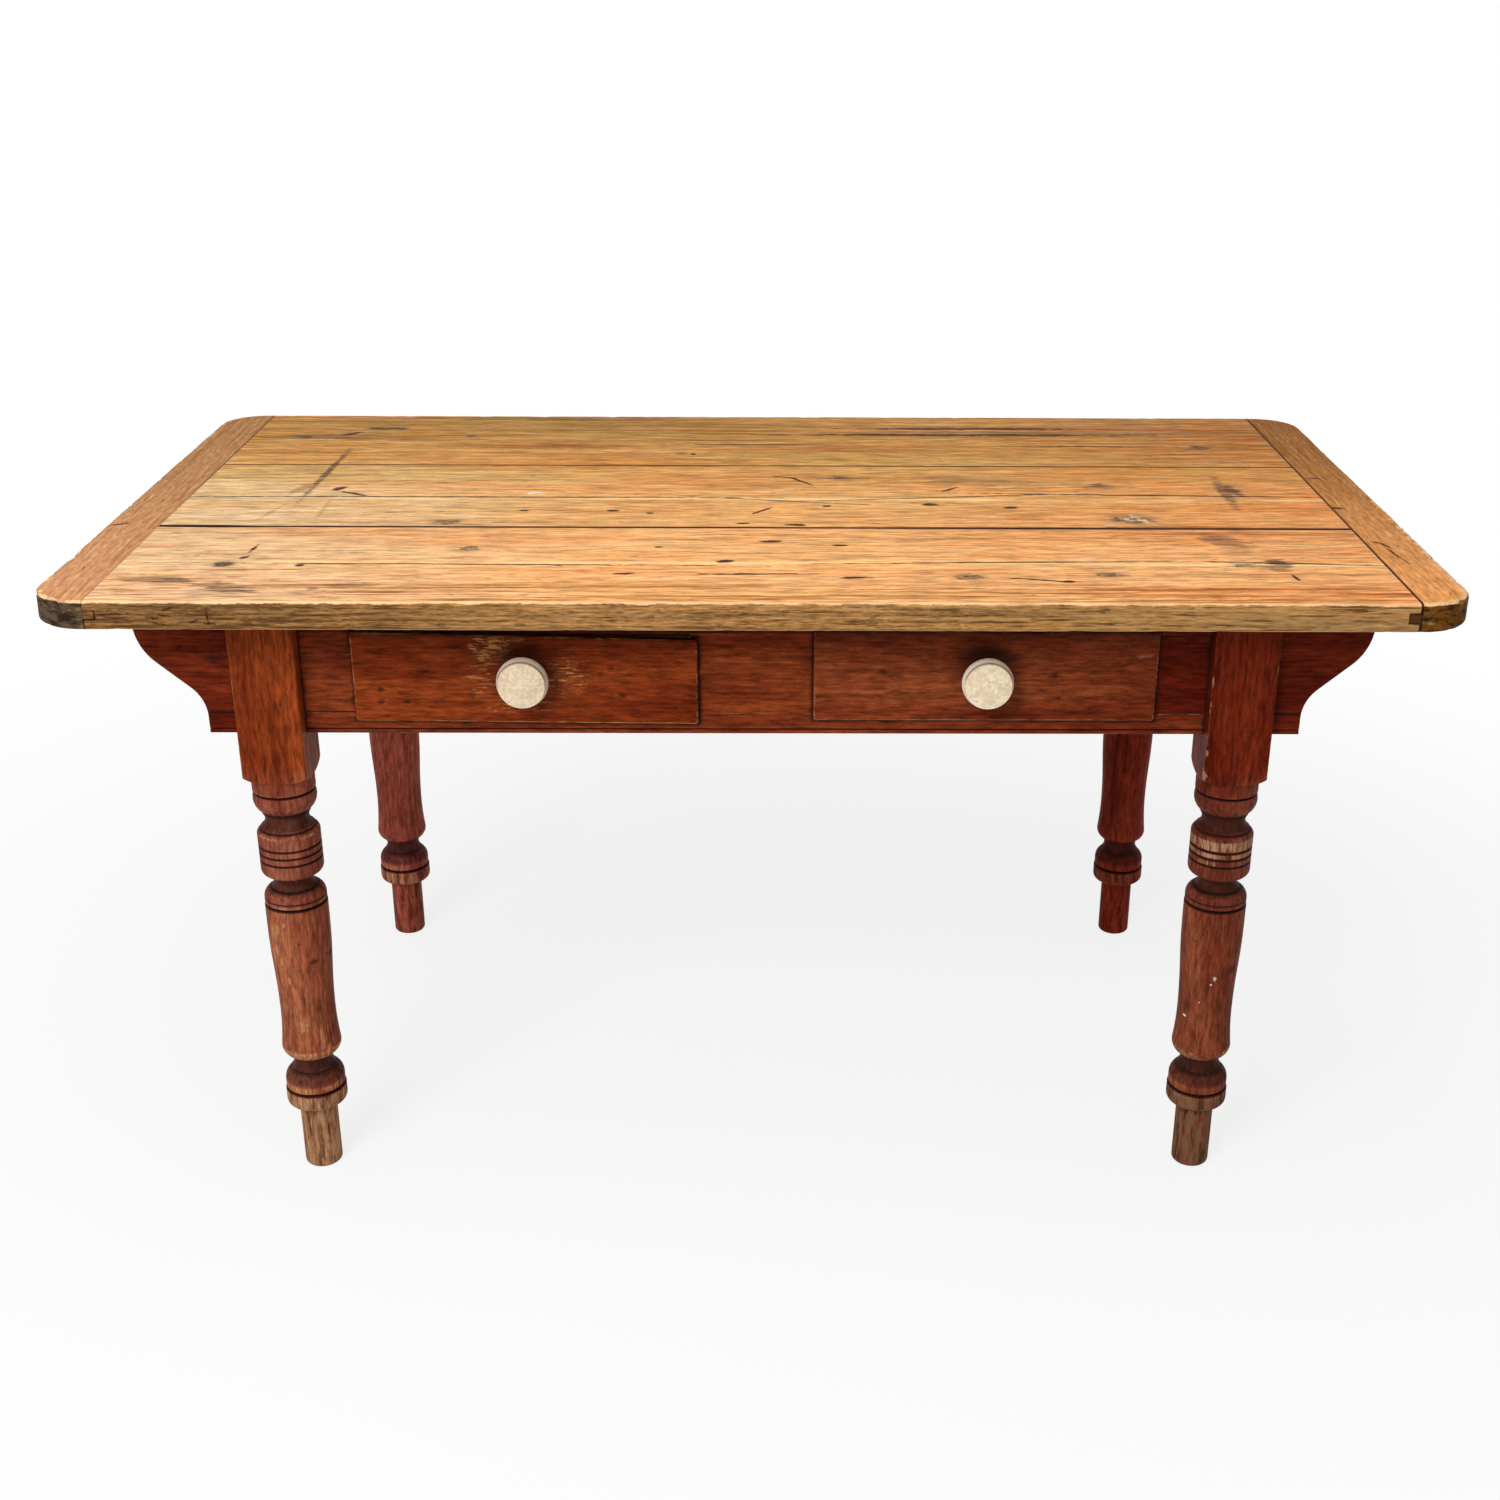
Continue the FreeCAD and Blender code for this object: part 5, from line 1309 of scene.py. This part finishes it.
def dress_frame():
    """Finish the rails, stiles, aprons, brackets and drawer fronts."""
    drawers = ["drawer_left_front", "drawer_right_front"]
    front_legs = ["leg_front_left", "leg_front_right"]
    back_legs = ["leg_back_left", "leg_back_right"]
    pieces = {
        "front_stile_centre": (ALONG_X, OXBLOOD_WARM, 0.001, drawers),
        "front_bottom_rail": (ALONG_X, OXBLOOD, 0.003, drawers + front_legs, RAIL_QUIRK, 0.0015),
        "front_top_rail": (ALONG_X, OXBLOOD_DEEP, 0.001, drawers + front_legs),
        "back_apron": (ALONG_X, OXBLOOD, 0.003, back_legs),
    }
    for side, stain in (("left", OXBLOOD), ("right", OXBLOOD_DEEP)):
        front, back = f"leg_front_{side}", f"leg_back_{side}"
        dull = OXBLOOD_DULL if side == "left" else stain
        pieces[f"bracket_front_{side}"] = (ALONG_X, dull, 0.002, [front], RAIL_JOINT)
        pieces[f"bracket_back_{side}"] = (ALONG_X, stain, 0.002, [back], RAIL_JOINT)
        pieces[f"front_stile_{side}"] = (ALONG_X, stain, 0.001, [front, f"drawer_{side}_front"], RAIL_JOINT)
        pieces[f"side_apron_{side}"] = (ALONG_Y, stain, 0.002, [front, back])
    for node, settings in pieces.items():
        dress(node, stained_finish(node, *settings))
    left = drawer_finish("drawer_left_front", "knob_left", RUST_RED, RUST_RED, BARE_YELLOW, knob_scratches)
    right = drawer_finish("drawer_right_front", "knob_right", OXBLOOD_SOFT, OXBLOOD, BARE_ROSE, None)
    dress("drawer_left_front", left)
    dress("drawer_right_front", right)


def dress_rest():
    """Finish the bare pine, the steel and the knobs."""
    across = raw_finish("bare_pine_across", ALONG_X)
    deep = raw_finish("bare_pine_deep", ALONG_Y)
    steel = steel_finish()
    for node, slot in SLOT_OF.items():
        if slot == "raw_pine":
            dress(node, across if node.endswith(("_back", "_bottom", "dowels")) else deep)
        if slot == "steel":
            dress(node, steel)
        if slot == "ceramic":
            dress(node, glaze_finish(node))


def make_floor():
    """A plain pale floor that shows white to the camera and keeps a soft shadow."""
    bpy.ops.object.select_all(action="DESELECT")
    bpy.ops.mesh.primitive_plane_add(size=FLOOR_SIZE, location=(0, 0, 0))
    floor = bpy.context.active_object
    floor.name = "floor"
    material, shader, place = new_finish("pale_floor", 0.0)
    paint(shader, Base_Color=FLOOR_GREY, Roughness=0.9)
    glow = place.net.out("ShaderNodeEmission", Color=WHITE, Strength=1.0)
    share = place.net.seen() * place.length().ramp(*FLOOR_FADE, 0.8, 1.0)
    mix = place.net.out("ShaderNodeMixShader", None, share, shader.outputs[0], glow)
    paint(material.node_tree.nodes["Material Output"], Surface=mix)
    floor.data.materials.append(material)


def make_lamp(name, at, towards, size, watts):
    """A large soft lamp."""
    data = bpy.data.lights.new(name, "AREA")
    data.shape = "RECTANGLE"
    data.size, data.size_y = size
    data.energy = watts
    lamp = bpy.data.objects.new(name, data)
    lamp.location = at
    lamp.rotation_euler = (Vector(towards) - Vector(at)).to_track_quat("-Z", "Y").to_euler()
    bpy.context.scene.collection.objects.link(lamp)


def make_light():
    """Even light from a white surround, with a soft lamp from the front left and a weaker one above."""
    world = bpy.data.worlds.new("white_surround")
    bpy.context.scene.world = world
    world.use_nodes = True
    strength = Net(world.node_tree).seen().ramp(0, 1, SURROUND_STRENGTH, 1.0)
    paint(world.node_tree.nodes["Background"], Color=WHITE, Strength=strength)
    for name, settings in LAMPS.items():
        make_lamp(name, *settings)


def make_camera():
    """The photograph's own view."""
    data = bpy.data.cameras.new("photo_view")
    data.sensor_width = SENSOR_MM
    data.lens = FOCAL_PX / PHOTO_PX * SENSOR_MM
    data.shift_x = (PHOTO_PX / 2 - CENTRE_PX[0]) / PHOTO_PX
    data.shift_y = (CENTRE_PX[1] - PHOTO_PX / 2) / PHOTO_PX
    camera = bpy.data.objects.new("photo_view", data)
    turn = Matrix.Rotation(YAW, 4, "Z") @ Matrix.Rotation(math.pi / 2 - PITCH_DOWN, 4, "X")
    camera.matrix_world = Matrix.Translation(CAMERA_AT) @ turn @ Matrix.Rotation(ROLL, 4, "Z")
    bpy.context.scene.collection.objects.link(camera)
    bpy.context.scene.camera = camera


dress_top()
dress_legs()
dress_frame()
dress_rest()
make_floor()
make_light()
make_camera()
bpy.context.scene.view_settings.view_transform = "Standard"
